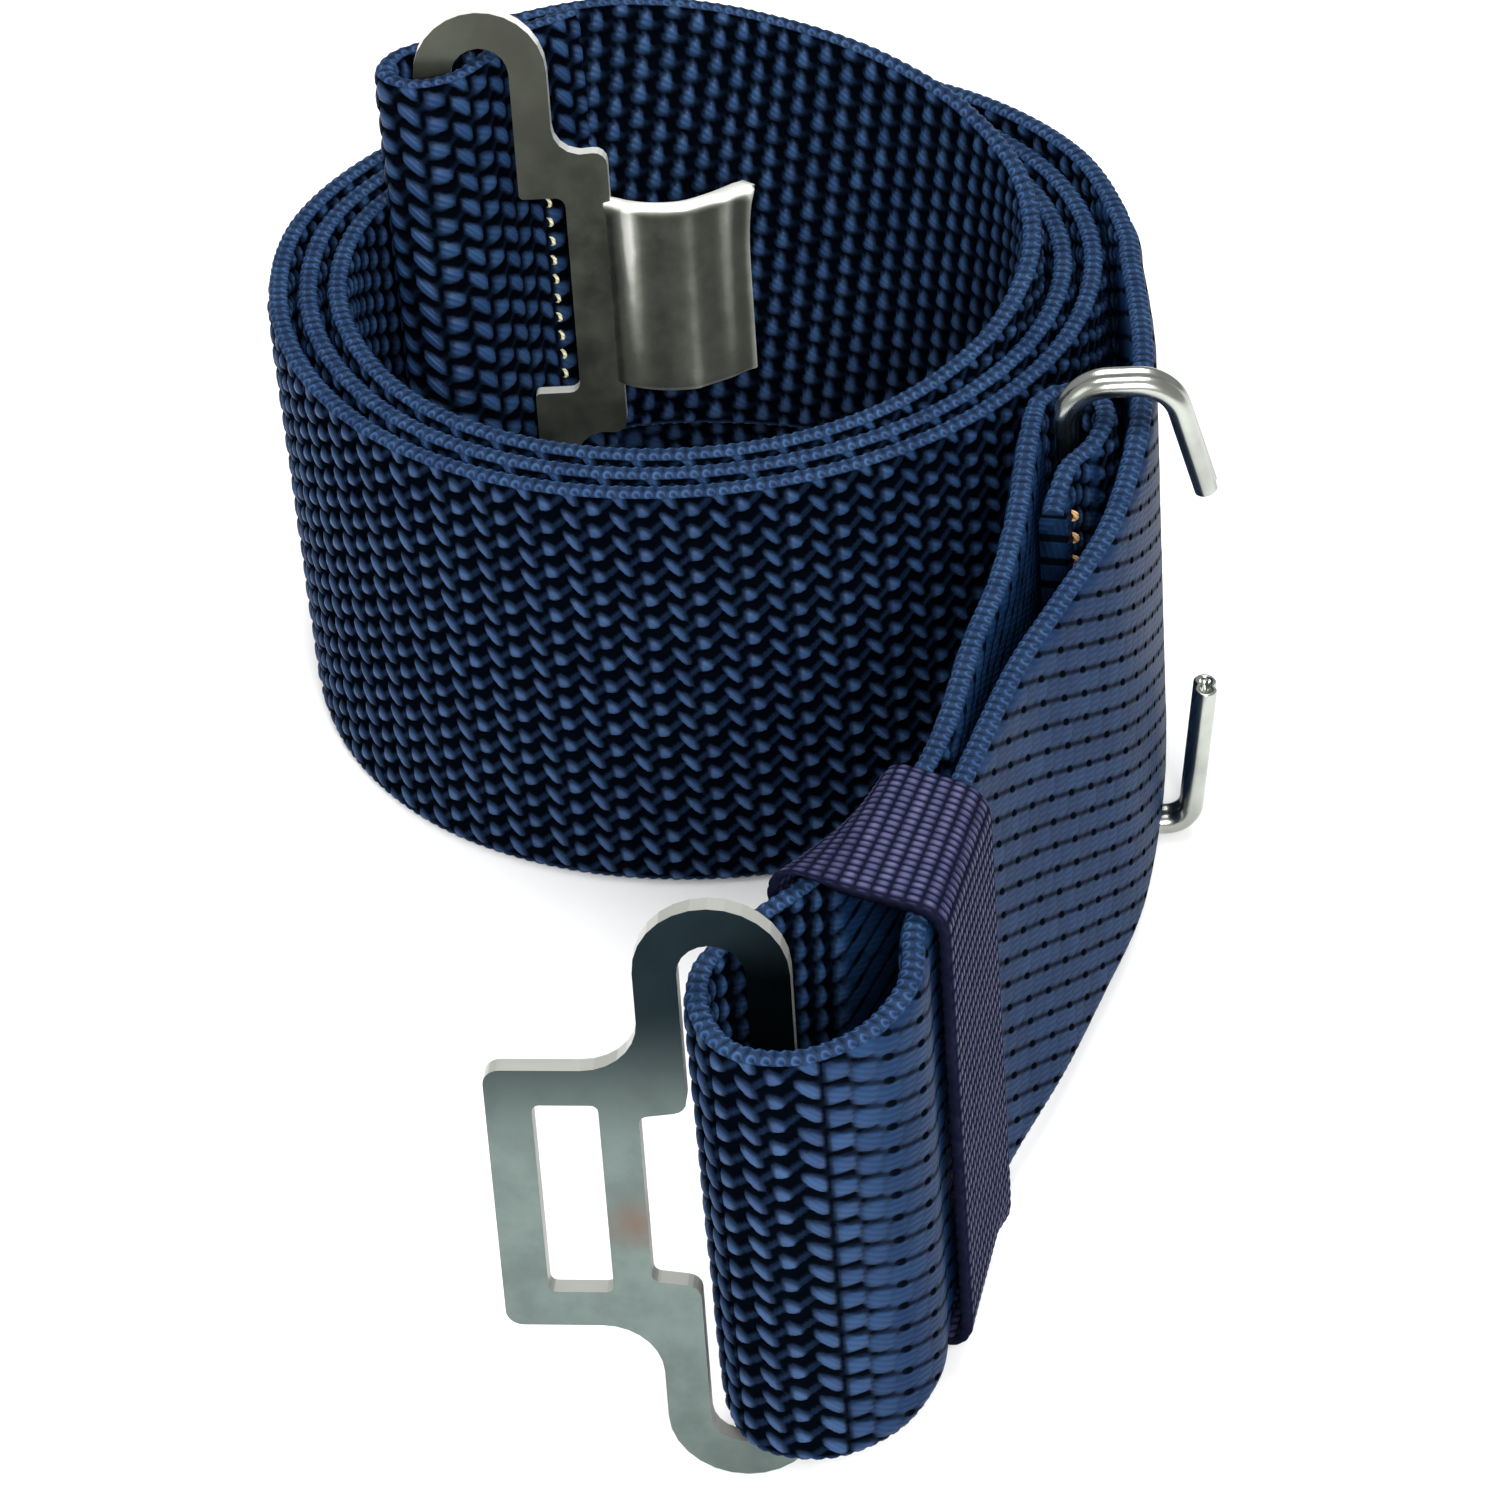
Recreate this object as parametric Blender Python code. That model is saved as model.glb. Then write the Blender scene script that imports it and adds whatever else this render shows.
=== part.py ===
"""A gait belt, rolled up and standing on its edge.

One length of heavy webbing is wound into an oval coil. Its inner end is sewn into a loop that
holds the hook buckle. Its outer end leaves the coil as a tail, turns back round the prongs of the
frame buckle, runs back through the keeper and ends in a sewn loop round the adjuster hook, which
slides on the tail. Units are metres, +Z is up, and the coil stands on z = 0.
"""

import math

import bmesh
import bpy
from mathutils import Matrix, Vector

# Webbing
STRAP_WIDTH = 0.0508
STRAP_THICKNESS = 0.0028
STRAP_EDGE_ROUND = 0.0009       # half round of the woven edge
GAP = 0.00035                   # air between two touching layers or pieces

# Coil: an oval spiral, counted in turns from its left side, clockwise seen from above
COIL_PITCH = STRAP_THICKNESS + GAP
COIL_CENTRE_X = -0.0014
COIL_HALF_WIDTH = 0.0349        # at 0.5 turn
COIL_HALF_DEPTH = 0.0310        # at 0.75 turn
COIL_FIRST_TURN = 0.15
COIL_LAST_TURN = 3.5
INNER_LEAN_ROOM = 0.0026        # how far the leaning inner end stands in from the spiral
LOOP_BULGE = 0.0023             # how far the coil bulges where the hook buckle's loop pushes it
OUTER_STEP_OUT = 0.0004         # how far the tail stands off the coil where it leaves it
INNER_RISE = 0.0155             # how far the inner end climbs out of the coil
LOOP_RISE = 0.0015              # how much further its sewn loop climbs
INNER_LEAN = 0.0055             # how far its top edge leans back over half the width
POINTS_PER_TURN = 16

# Tail heights above z = 0
TAIL_LIFT_AT_HOOK = 0.0034
TAIL_LIFT_AT_FOLD = 0.0057

# Buckles: flat stampings with two round-topped arms each
PLATE_THICKNESS = 0.0018
ARM_OUTER_RADIUS = 0.00700
ARM_INNER_RADIUS = 0.00305
ARM_CENTRE_HEIGHT = 0.0253
PRONG_TIP_HEIGHT = 0.0075
FRAME_HALF_HEIGHT = 0.0146
FRAME_WINDOW_HALF_HEIGHT = 0.0107
FRAME_WINDOW = (0.0042, 0.0102)
FRAME_BAR_EDGE = 0.0138
FRAME_ARM_CENTRE = 0.02125
HOOK_BODY_WIDTH = 0.0042
HOOK_ARM_CENTRE = -0.0079
TONGUE_HALF_HEIGHT = 0.0103
TONGUE_REACH = 0.0185
TONGUE_THICKNESS = 0.0015

# Where the plates hang: the middle of the prongs that sit in the webbing
FRAME_PRONG = (-0.0003, -0.1201, 0.0324)
FRAME_TURN, FRAME_LEAN = math.radians(-7.5), math.radians(-5.5)
HOOK_PRONG = (-0.0276, 0.0132, 0.0408)
HOOK_TURN, HOOK_LEAN = math.radians(-3.5), math.radians(-12.2)

# Adjuster hook: a strip bent to an open rectangle round the tail
ADJUSTER_BAR = (0.0339, -0.0353)
ADJUSTER_OUTER = (0.0476, -0.0362)
ADJUSTER_STRIP_WIDTH = 0.0036
ADJUSTER_STRIP_THICKNESS = 0.0026
ADJUSTER_LOW, ADJUSTER_HIGH = 0.0016, 0.0580
ADJUSTER_END_LOW, ADJUSTER_END_HIGH = 0.0193, 0.0447
ADJUSTER_LOW_END_IN = 0.0005
ADJUSTER_BEND = 0.0044
# Where its two legs leave the webbing's edges, before they flare out
ADJUSTER_LOW_SHOULDER, ADJUSTER_SHOULDER = 0.0113, 0.0104

# Keeper: a band of thin webbing round both layers of the tail
KEEPER_THICKNESS = 0.0012
KEEPER_ROUND = 0.0022
KEEPER_ROOM = 0.0006

# Sewing thread
THREAD_RADIUS = 0.00035
THREAD_GAP = 0.00012

NAVY = (0.018, 0.034, 0.085, 1.0)
KEEPER_NAVY = (0.030, 0.028, 0.075, 1.0)
NICKEL = (0.56, 0.58, 0.55, 1.0)
PALE_THREAD = (0.62, 0.58, 0.36, 1.0)
TAN_THREAD = (0.58, 0.34, 0.14, 1.0)

# Half the size of the whole belt's box lies each side of this point of the coil's own frame
BELT_CENTRE = (0.00125, -0.04445)


def material(name, colour, roughness, metallic=0.0):
    """A Principled material for one sub-part."""
    made = bpy.data.materials.new(name)
    made.use_nodes = True
    shader = made.node_tree.nodes["Principled BSDF"]
    shader.inputs["Base Color"].default_value = colour
    shader.inputs["Roughness"].default_value = roughness
    shader.inputs["Metallic"].default_value = metallic
    made.diffuse_color = colour
    return made


def ease(value):
    """0 to 1 with level ends, for a value that runs from 0 to 1."""
    value = min(1.0, max(0.0, value))
    return value * value * (3.0 - 2.0 * value)


def coil_station(turn):
    """Centre x, y, lift and the top edge's lean x, y of the webbing, at a turn of the spiral."""
    step_in = INNER_LEAN_ROOM * ease((0.62 - turn) / 0.50)
    half_width = COIL_HALF_WIDTH + COIL_PITCH * (turn - 0.50) - step_in
    half_width += OUTER_STEP_OUT * ease((turn - 3.15) / 0.3)
    half_depth = COIL_HALF_DEPTH + COIL_PITCH * (turn - 0.75) - step_in
    angle = math.tau * turn
    bulge = LOOP_BULGE * max(0.0, math.cos(angle - math.radians(30.0))) ** 8
    bulge *= ease((turn - 0.5) / 0.3)
    x = COIL_CENTRE_X - (half_width + bulge) * math.cos(angle)
    y = (half_depth + bulge) * math.sin(angle)
    lift = INNER_RISE * ease((0.72 - turn) / 0.62) + LOOP_RISE * ease((0.30 - turn) / 0.15)
    lift += TAIL_LIFT_AT_HOOK * 0.35 * ease((turn - 3.1) / 0.5)
    return (x, y, lift, 0.0, INNER_LEAN * ease((0.42 - turn) / 0.30))


# Inner end, from its cut edge through the loop round the hook buckle's prong: centre x and y
HOOK_LOOP = (
    (-0.0120, 0.0215),
    (-0.0152, 0.0201),
    (-0.0180, 0.0186),
    (-0.0199, 0.0165),
    (-0.0219, 0.0137),
    (-0.0244, 0.0112),
    (-0.0281, 0.0099),
    (-0.0310, 0.0109),
    (-0.0321, 0.0132),
    (-0.0310, 0.0157),
    (-0.0282, 0.0173),
)

# Tail, from the coil's right side to the frame buckle's fold: x, y, lift, lean x, lean y
TAIL_OUT = (
    (0.0433, -0.0060, 0.0013, 0.0, 0.0),
    (0.0432, -0.0140, 0.0018, 0.0, 0.0),
    (0.0427, -0.0240, 0.0026, 0.0, 0.0),
    (0.0408, -0.0380, 0.0034, 0.0, 0.0),
    (0.0368, -0.0535, 0.0037, -0.0004, 0.0002),
    (0.0313, -0.0656, 0.0041, -0.0009, 0.0004),
    (0.0266, -0.0755, 0.0045, -0.0012, 0.0006),
    (0.0213, -0.0872, 0.0049, -0.0006, 0.0003),
    (0.0181, -0.0950, 0.0052, -0.0003, 0.0001),
    (0.0150, -0.1040, 0.0054, 0.0000, 0.0000),
    (0.0131, -0.1120, 0.0056, 0.0001, -0.0002),
    (0.0119, -0.1190, 0.0057, 0.0002, -0.0004),
    (0.0079, -0.1248, 0.0057, 0.0001, -0.0004),
    (0.0018, -0.1274, 0.0057, 0.0000, -0.0004),
    (-0.0038, -0.1257, 0.0057, 0.0000, -0.0004),
    (-0.0062, -0.1208, 0.0057, -0.0001, -0.0003),
    (-0.0057, -0.1150, 0.0057, -0.0001, -0.0001),
)

# Tail, back from the fold to the loop round the adjuster hook and its cut edge
TAIL_BACK = (
    (-0.0021, -0.1103, 0.0057, 0.0, 0.0),
    (0.0034, -0.1052, 0.0055, 0.0, 0.0),
    (0.0093, -0.0988, 0.0053, 0.0, 0.0),
    (0.0143, -0.0920, 0.0050, 0.0, 0.0),
    (0.0178, -0.0842, 0.0047, 0.0, 0.0),
    (0.0219, -0.0700, 0.0043, 0.0, 0.0),
    (0.0252, -0.0605, 0.0040, 0.0, 0.0),
    (0.0278, -0.0500, 0.0038, 0.0, 0.0),
    (0.0296, -0.0400, 0.0036, 0.0, 0.0),
    (0.0308, -0.0342, 0.0034, 0.0, 0.0),
    (0.0315, -0.0319, 0.0034, 0.0, 0.0),
    (0.0332, -0.0304, 0.0034, 0.0, 0.0),
    (0.0355, -0.0304, 0.0034, 0.0, 0.0),
    (0.0373, -0.0319, 0.0034, 0.0, 0.0),
    (0.0379, -0.0345, 0.0034, 0.0, 0.0),
    (0.0364, -0.0393, 0.0035, 0.0, 0.0),
    (0.0336, -0.0430, 0.0036, 0.0, 0.0),
    (0.0321, -0.0472, 0.0038, 0.0, 0.0),
    (0.0310, -0.0515, 0.0039, 0.0, 0.0),
)


def strap_controls():
    """Control stations of the whole webbing, from the inner cut edge to the outer one."""
    stations = []
    for x, y in HOOK_LOOP:
        stations.append((x, y, INNER_RISE + LOOP_RISE, 0.0, INNER_LEAN))
    steps = round((COIL_LAST_TURN - COIL_FIRST_TURN) * POINTS_PER_TURN)
    span = COIL_LAST_TURN - COIL_FIRST_TURN
    stations += [coil_station(COIL_FIRST_TURN + span * i / steps) for i in range(steps + 1)]
    return stations + list(TAIL_OUT) + list(TAIL_BACK)


def smooth(controls, closed=False, per_span=24):
    """Points on a centripetal Catmull-Rom curve through the controls, which may hold extra values."""
    points = [tuple(p) for p in controls]
    if closed:
        padded = [points[-1]] + points + points[:2]
    else:
        first = tuple(2 * a - b for a, b in zip(points[0], points[1]))
        last = tuple(2 * a - b for a, b in zip(points[-1], points[-2]))
        padded = [first] + points + [last]
    found = []
    for i in range(len(padded) - 3):
        p0, p1, p2, p3 = padded[i : i + 4]
        knots = [0.0]
        for a, b in ((p0, p1), (p1, p2), (p2, p3)):
            knots.append(knots[-1] + max(math.sqrt(math.dist(a[:2], b[:2])), 1e-5))
        t0, t1, t2, t3 = knots
        for k in range(per_span):
            t = t1 + (t2 - t1) * k / per_span
            found.append(
                tuple(
                    catmull(a, b, c, d, t0, t1, t2, t3, t)
                    for a, b, c, d in zip(p0, p1, p2, p3)
                )
            )
    if not closed:
        found.append(points[-1])
    return found


def catmull(a, b, c, d, t0, t1, t2, t3, t):
    """One value of a centripetal Catmull-Rom span."""
    ab = a + (b - a) * (t - t0) / (t1 - t0)
    bc = b + (c - b) * (t - t1) / (t2 - t1)
    cd = c + (d - c) * (t - t2) / (t3 - t2)
    abc = ab + (bc - ab) * (t - t0) / (t2 - t0)
    bcd = bc + (cd - bc) * (t - t1) / (t3 - t1)
    return abc + (bcd - abc) * (t - t1) / (t2 - t1)


def thin_out(points, longest, sharpest):
    """Fewer points: a new one after so much length or so much turning, and always the last."""
    kept = [points[0]]
    run, turned = 0.0, 0.0
    for before, here, after in zip(points, points[1:], points[2:]):
        step = Vector(here[:2]) - Vector(before[:2])
        following = Vector(after[:2]) - Vector(here[:2])
        run += step.length
        turned += abs(step.angle(following, 0.0))
        if run >= longest or turned >= sharpest:
            kept.append(here)
            run, turned = 0.0, 0.0
    if run < longest * 0.3 and len(kept) > 2:
        kept.pop()
    return kept + [points[-1]]


def frames_along(stations):
    """Centre, width direction and outward direction of a band at each station."""
    centres = [Vector((s[0], s[1], STRAP_WIDTH / 2 + s[2])) for s in stations]
    frames = []
    for i, (centre, station) in enumerate(zip(centres, stations)):
        ahead = centres[min(i + 1, len(centres) - 1)]
        behind = centres[max(i - 1, 0)]
        tangent = (ahead - behind).normalized()
        level = Vector((tangent.x, tangent.y, 0.0)).normalized()
        up = Vector((station[3], station[4], STRAP_WIDTH / 2))
        up -= level * (tangent.z * STRAP_WIDTH / 2)
        up.normalize()
        frames.append((centre, up, up.cross(tangent).normalized()))
    return frames


def band_section(width, thickness, edge):
    """Outline of a flat band with softened edges, as (across the width, through it) pairs."""
    w, t = width / 2, thickness / 2
    return (
        (-w, -t * 0.45), (-w + edge, -t), (w - edge, -t), (w, -t * 0.45),
        (w, t * 0.45), (w - edge, t), (-w + edge, t), (-w, t * 0.45),
    )


def sweep(name, frames, section, paint, closed=False):
    """A solid swept along frames, with flat ends unless the path is closed."""
    work = bmesh.new()
    rings = []
    for centre, up, out in frames:
        rings.append([work.verts.new(centre + up * a + out * b) for a, b in section])
    count = len(section)
    pairs = list(zip(rings, rings[1:]))
    if closed:
        pairs.append((rings[-1], rings[0]))
    for one, two in pairs:
        for i in range(count):
            j = (i + 1) % count
            work.faces.new((one[i], one[j], two[j], two[i]))
    if not closed:
        work.faces.new(list(reversed(rings[0])))
        work.faces.new(rings[-1])
    return finish_mesh(name, work, paint)


def finish_mesh(name, work, paint, smooth_angle=math.radians(35)):
    """Turn a bmesh into a named object with outward faces and its material."""
    bmesh.ops.recalc_face_normals(work, faces=work.faces)
    mesh = bpy.data.meshes.new(name)
    work.to_mesh(mesh)
    work.free()
    mesh.shade_smooth()
    mesh.set_sharp_from_angle(angle=smooth_angle)
    mesh.materials.append(paint)
    made = bpy.data.objects.new(name, mesh)
    bpy.context.scene.collection.objects.link(made)
    return made


def arc(centre, radius, start, end, steps):
    """Points on an arc, from one angle in degrees to the other."""
    found = []
    for i in range(steps + 1):
        angle = math.radians(start + (end - start) * i / steps)
        found.append((centre[0] + radius * math.cos(angle), centre[1] + radius * math.sin(angle)))
    return found


def rounded(corners, steps=4):
    """A closed outline from (u, v, radius) corners, with each corner replaced by an arc."""
    outline = []
    count = len(corners)
    for i, (u, v, radius) in enumerate(corners):
        here = Vector((u, v))
        before = Vector(corners[i - 1][:2]) - here
        after = Vector(corners[(i + 1) % count][:2]) - here
        if radius <= 0.0:
            outline.append((u, v))
            continue
        half = before.angle(after) / 2
        reach = radius / math.tan(half)
        start, end = here + before.normalized() * reach, here + after.normalized() * reach
        middle = here + (before.normalized() + after.normalized()).normalized() * (
            radius / math.sin(half)
        )
        first, last = start - middle, end - middle
        turn = first.angle_signed(last)
        for k in range(steps + 1):
            spoke = first.copy()
            spoke.rotate(Matrix.Rotation(-turn * k / steps, 2))
            outline.append(tuple(middle + spoke))
    return outline


def stamped_plate(name, outline, holes, paint):
    """A flat plate from an outline and its holes, in the local x and z, centred on local y."""
    work = bmesh.new()
    for loop in [outline] + holes:
        corners = [work.verts.new((u, -PLATE_THICKNESS / 2, v)) for u, v in loop]
        for one, two in zip(corners, corners[1:] + corners[:1]):
            work.edges.new((one, two))
    bmesh.ops.triangle_fill(work, use_beauty=True, edges=work.edges)
    grown = bmesh.ops.extrude_face_region(work, geom=list(work.faces))
    moved = [item for item in grown["geom"] if isinstance(item, bmesh.types.BMVert)]
    bmesh.ops.translate(work, verts=moved, vec=(0.0, PLATE_THICKNESS, 0.0))
    return finish_mesh(name, work, paint, math.radians(30))


def mirrored(upper):
    """A whole outline from its upper half, listed from the far edge round to the near one."""
    return upper + [(u, -v) for u, v in reversed(upper)]


def arm_outline(centre, far_first):
    """Outer and inner edges of an upper arm whose prong is on the far side."""
    middle = (centre, ARM_CENTRE_HEIGHT)
    sweep_angles = (180, 0) if far_first else (0, 180)
    outer = arc(middle, ARM_OUTER_RADIUS, *sweep_angles, 14)
    inner = arc(middle, ARM_INNER_RADIUS, *reversed(sweep_angles), 10)
    return outer, inner


def prong_tip(centre, side):
    """Rounded free end of a prong, from its outer edge to its inner one."""
    half = (ARM_OUTER_RADIUS - ARM_INNER_RADIUS) / 2
    middle = centre + side * (ARM_OUTER_RADIUS + ARM_INNER_RADIUS) / 2
    angles = (0, -180) if side > 0 else (180, 360)
    return arc((middle, PRONG_TIP_HEIGHT + half), half, *angles, 6)


def frame_buckle(paint):
    """Frame buckle: one window, a bar, and two arms whose prongs point at each other."""
    outer, inner = arm_outline(FRAME_ARM_CENTRE, True)
    limb = FRAME_ARM_CENTRE - ARM_OUTER_RADIUS
    limb_inner = FRAME_ARM_CENTRE - ARM_INNER_RADIUS
    corners = rounded(
        [
            (0.0, 0.0, 0.0),
            (0.0, FRAME_HALF_HEIGHT, 0.0016),
            (limb, FRAME_HALF_HEIGHT, 0.0054),
            (limb, ARM_CENTRE_HEIGHT, 0.0),
        ],
        steps=7,
    )[1:-1]
    mouth = rounded(
        [
            (limb_inner, ARM_CENTRE_HEIGHT, 0.0),
            (limb_inner, 0.0100, 0.0014),
            (FRAME_BAR_EDGE, 0.0094, 0.0008),
            (FRAME_BAR_EDGE, 0.0, 0.0),
        ]
    )[1:-1]
    upper = corners + outer + prong_tip(FRAME_ARM_CENTRE, 1) + inner + mouth
    near, far = FRAME_WINDOW
    high = FRAME_WINDOW_HALF_HEIGHT
    window = rounded(
        [(near, -high, 0.0007), (far, -high, 0.0007), (far, high, 0.0007), (near, high, 0.0007)]
    )
    prong = FRAME_ARM_CENTRE + (ARM_OUTER_RADIUS + ARM_INNER_RADIUS) / 2
    shifted = [[(u - prong, v) for u, v in loop] for loop in (mirrored(upper), window)]
    made = stamped_plate("frame_buckle", shifted[0], [shifted[1]], paint)
    place_plate(made, FRAME_PRONG, FRAME_TURN, FRAME_LEAN)
    return made


def tongue_section():
    """Curved section of the tongue in (reach, depth), first along its front, then its back."""
    line = smooth(
        [
            (0.0012, 0.0000), (HOOK_BODY_WIDTH, 0.0000), (0.0062, -0.0013),
            (0.0090, -0.0024), (0.0122, -0.0024), (0.0152, -0.0006), (TONGUE_REACH, 0.0024),
        ],
        per_span=4,
    )
    half = TONGUE_THICKNESS / 2
    front, back = [], []
    for i, (u, w) in enumerate(line):
        ahead, behind = line[min(i + 1, len(line) - 1)], line[max(i - 1, 0)]
        along = Vector((ahead[0] - behind[0], ahead[1] - behind[1])).normalized()
        front.append((u + along.y * half, w - along.x * half))
        back.append((u - along.y * half, w + along.x * half))
    return front + list(reversed(back))


def hook_buckle(paint):
    """Hook buckle: two arms like the frame's on a narrow body, whose edge is bent to a tongue."""
    outer, inner = arm_outline(HOOK_ARM_CENTRE, False)
    limb = HOOK_ARM_CENTRE + ARM_OUTER_RADIUS
    limb_inner = HOOK_ARM_CENTRE + ARM_INNER_RADIUS
    shoulder = rounded(
        [
            (HOOK_BODY_WIDTH, 0.0, 0.0),
            (HOOK_BODY_WIDTH + 0.0006, 0.0162, 0.0014),
            (HOOK_BODY_WIDTH - 0.0022, 0.0160, 0.0006),
            (limb, 0.0164, 0.0030),
            (limb, ARM_CENTRE_HEIGHT, 0.0),
        ]
    )[1:-1]
    inside = rounded(
        [
            (limb_inner, ARM_CENTRE_HEIGHT, 0.0),
            (limb_inner, 0.0112, 0.0005),
            (0.0, 0.0112, 0.0011),
            (0.0, 0.0, 0.0),
        ]
    )[1:-1]
    upper = shoulder + outer + prong_tip(HOOK_ARM_CENTRE, -1) + inner + inside
    prong = HOOK_ARM_CENTRE - (ARM_OUTER_RADIUS + ARM_INNER_RADIUS) / 2
    made = stamped_plate("hook_buckle", [(u - prong, v) for u, v in mirrored(upper)], [], paint)
    tongue = bmesh.new()
    profile = [(u - prong, w) for u, w in tongue_section()]
    low = [tongue.verts.new((u, w, -TONGUE_HALF_HEIGHT)) for u, w in profile]
    high = [tongue.verts.new((u, w, TONGUE_HALF_HEIGHT)) for u, w in profile]
    for i in range(len(profile)):
        j = (i + 1) % len(profile)
        tongue.faces.new((low[i], low[j], high[j], high[i]))
    tongue.faces.new(list(reversed(low)))
    tongue.faces.new(high)
    bent = finish_mesh("tongue_guide", tongue, paint)
    bent.hide_render = True
    bent.display_type = "WIRE"
    joined = made.modifiers.new("tongue", "BOOLEAN")
    joined.operation = "UNION"
    joined.solver = "EXACT"
    joined.object = bent
    place_plate(made, HOOK_PRONG, HOOK_TURN, HOOK_LEAN)
    bent.parent = made
    return made


def place_plate(plate, prong, turn, lean):
    """Hang a plate by the middle of its prongs, leaning and turned about them."""
    plate.matrix_world = (
        Matrix.Translation(prong) @ Matrix.Rotation(turn, 4, "Z") @ Matrix.Rotation(lean, 4, "X")
    )


def adjuster_hook(paint):
    """Adjuster hook: a flat strip bent round the tail, open at the middle of its outer side."""
    across = Vector(ADJUSTER_OUTER) - Vector(ADJUSTER_BAR)
    reach = across.length
    across.normalize()
    corners = [
        (reach - ADJUSTER_LOW_END_IN, ADJUSTER_END_LOW, 0.0),
        (ADJUSTER_LOW_SHOULDER, ADJUSTER_LOW, ADJUSTER_BEND * 0.6),
        (0.0, ADJUSTER_LOW, ADJUSTER_BEND),
        (0.0, ADJUSTER_HIGH, ADJUSTER_BEND),
        (ADJUSTER_SHOULDER, ADJUSTER_HIGH, ADJUSTER_BEND),
        (reach, ADJUSTER_END_HIGH, 0.0),
    ]
    line = rounded(corners, steps=6)
    along = Vector((-across.y, across.x, 0.0))
    frames = []
    for i, (u, v) in enumerate(line):
        ahead, behind = line[min(i + 1, len(line) - 1)], line[max(i - 1, 0)]
        tangent = Vector((ahead[0] - behind[0], ahead[1] - behind[1])).normalized()
        out = Vector((across.x * tangent.y, across.y * tangent.y, -tangent.x))
        frames.append((Vector((across.x * u, across.y * u, v)), along, out))
    section = band_section(ADJUSTER_STRIP_WIDTH, ADJUSTER_STRIP_THICKNESS, 0.0009)
    made = sweep("adjuster_hook", frames, section, paint)
    made.location = (ADJUSTER_BAR[0], ADJUSTER_BAR[1], 0.0)
    return made


# Keeper: plan corners of the band at its coil end and its fold end, B side first, A side second
KEEPER_COIL_END = ((0.0120, -0.0899), (0.0216, -0.0962))
KEEPER_FOLD_END = ((0.0002, -0.1042), (0.0163, -0.1128))
KEEPER_LOW, KEEPER_HIGH = 0.0030, 0.0580


def keeper_section(corners, inset):
    """One end of the keeper as a closed rounded rectangle, moved in by inset."""
    near, far = Vector(corners[0]), Vector(corners[1])
    across = (far - near).normalized()
    reach = (far - near).length
    low, high = KEEPER_LOW + inset, KEEPER_HIGH - inset
    radius = KEEPER_ROUND - inset * 0.8
    outline = rounded(
        [
            (inset, low, radius), (reach - inset, low, radius),
            (reach - inset, high, radius), (inset, high, radius),
        ]
    )
    return [Vector((near.x + across.x * u, near.y + across.y * u, v)) for u, v in outline]


def keeper_loop(paint):
    """Keeper: a thin band that rings both layers of the tail, wider towards the fold."""
    work = bmesh.new()
    rings = []
    ends = (KEEPER_COIL_END, KEEPER_FOLD_END)
    for corners, inset in ((ends[0], 0.0), (ends[1], 0.0), (ends[1], KEEPER_THICKNESS),
                           (ends[0], KEEPER_THICKNESS)):
        rings.append([work.verts.new(p) for p in keeper_section(corners, inset)])
    for one, two in zip(rings, rings[1:] + rings[:1]):
        for i in range(len(one)):
            j = (i + 1) % len(one)
            work.faces.new((one[i], one[j], two[j], two[i]))
    return finish_mesh("keeper_loop", work, paint)


def stitch_row(name, frame, half_length, side, paint):
    """A row of sewing across the webbing: a thin round thread just clear of one face."""
    centre, up, out = frame
    middle = centre + out * side * (STRAP_THICKNESS / 2 + THREAD_GAP + THREAD_RADIUS)
    across = up.cross(out)
    rows = [middle + up * half_length * k for k in (-1.0, 1.0)]
    section = [(THREAD_RADIUS * math.cos(math.tau * i / 8), THREAD_RADIUS * math.sin(math.tau * i / 8))
               for i in range(8)]
    return sweep(name, [(p, across, out) for p in rows], section, paint)


def nearest_frame(frames, x, y, within):
    """The frame nearest to a plan point, among a slice of the webbing's length."""
    span = frames[int(len(frames) * within[0]) : int(len(frames) * within[1])]
    return min(span, key=lambda f: (f[0].x - x) ** 2 + (f[0].y - y) ** 2)


def build():
    """Make every sub-part and hang them all on one empty at the belt's own origin."""
    for old in list(bpy.data.objects):
        bpy.data.objects.remove(old)
    navy = material("navy_webbing", NAVY, 0.85)
    thin = material("keeper_webbing", KEEPER_NAVY, 0.8)
    path = thin_out(smooth(strap_controls()), 0.0042, math.radians(9))
    frames = frames_along(path)
    strap = sweep(
        "webbing_strap", frames, band_section(STRAP_WIDTH, STRAP_THICKNESS, STRAP_EDGE_ROUND), navy
    )
    half_row = STRAP_WIDTH / 2 - 0.0035
    parts = [
        strap,
        keeper_loop(thin),
        frame_buckle(material("nickel_frame", NICKEL, 0.28, 1.0)),
        hook_buckle(material("nickel_hook", NICKEL, 0.28, 1.0)),
        adjuster_hook(material("nickel_adjuster", NICKEL, 0.28, 1.0)),
        stitch_row("hook_end_stitching", nearest_frame(frames, -0.0172, 0.0190, (0.0, 0.05)),
                   half_row, 1, material("pale_thread", PALE_THREAD, 0.7)),
        stitch_row("adjuster_end_stitching", nearest_frame(frames, 0.0318, -0.0485, (0.97, 1.0)),
                   half_row, 1, material("tan_thread", TAN_THREAD, 0.7)),
    ]
    belt = bpy.data.objects.new("belt_frame", None)
    bpy.context.scene.collection.objects.link(belt)
    belt.location = (-BELT_CENTRE[0], -BELT_CENTRE[1], 0.0)
    for part in parts:
        part.parent = belt
    bpy.context.view_layer.update()


build()
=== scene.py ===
"""Looks of the gait belt: woven webbing with real relief, sewn threads and plated buckles."""

import math

import bpy
import numpy as np
from mathutils import Matrix, Vector


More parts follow.
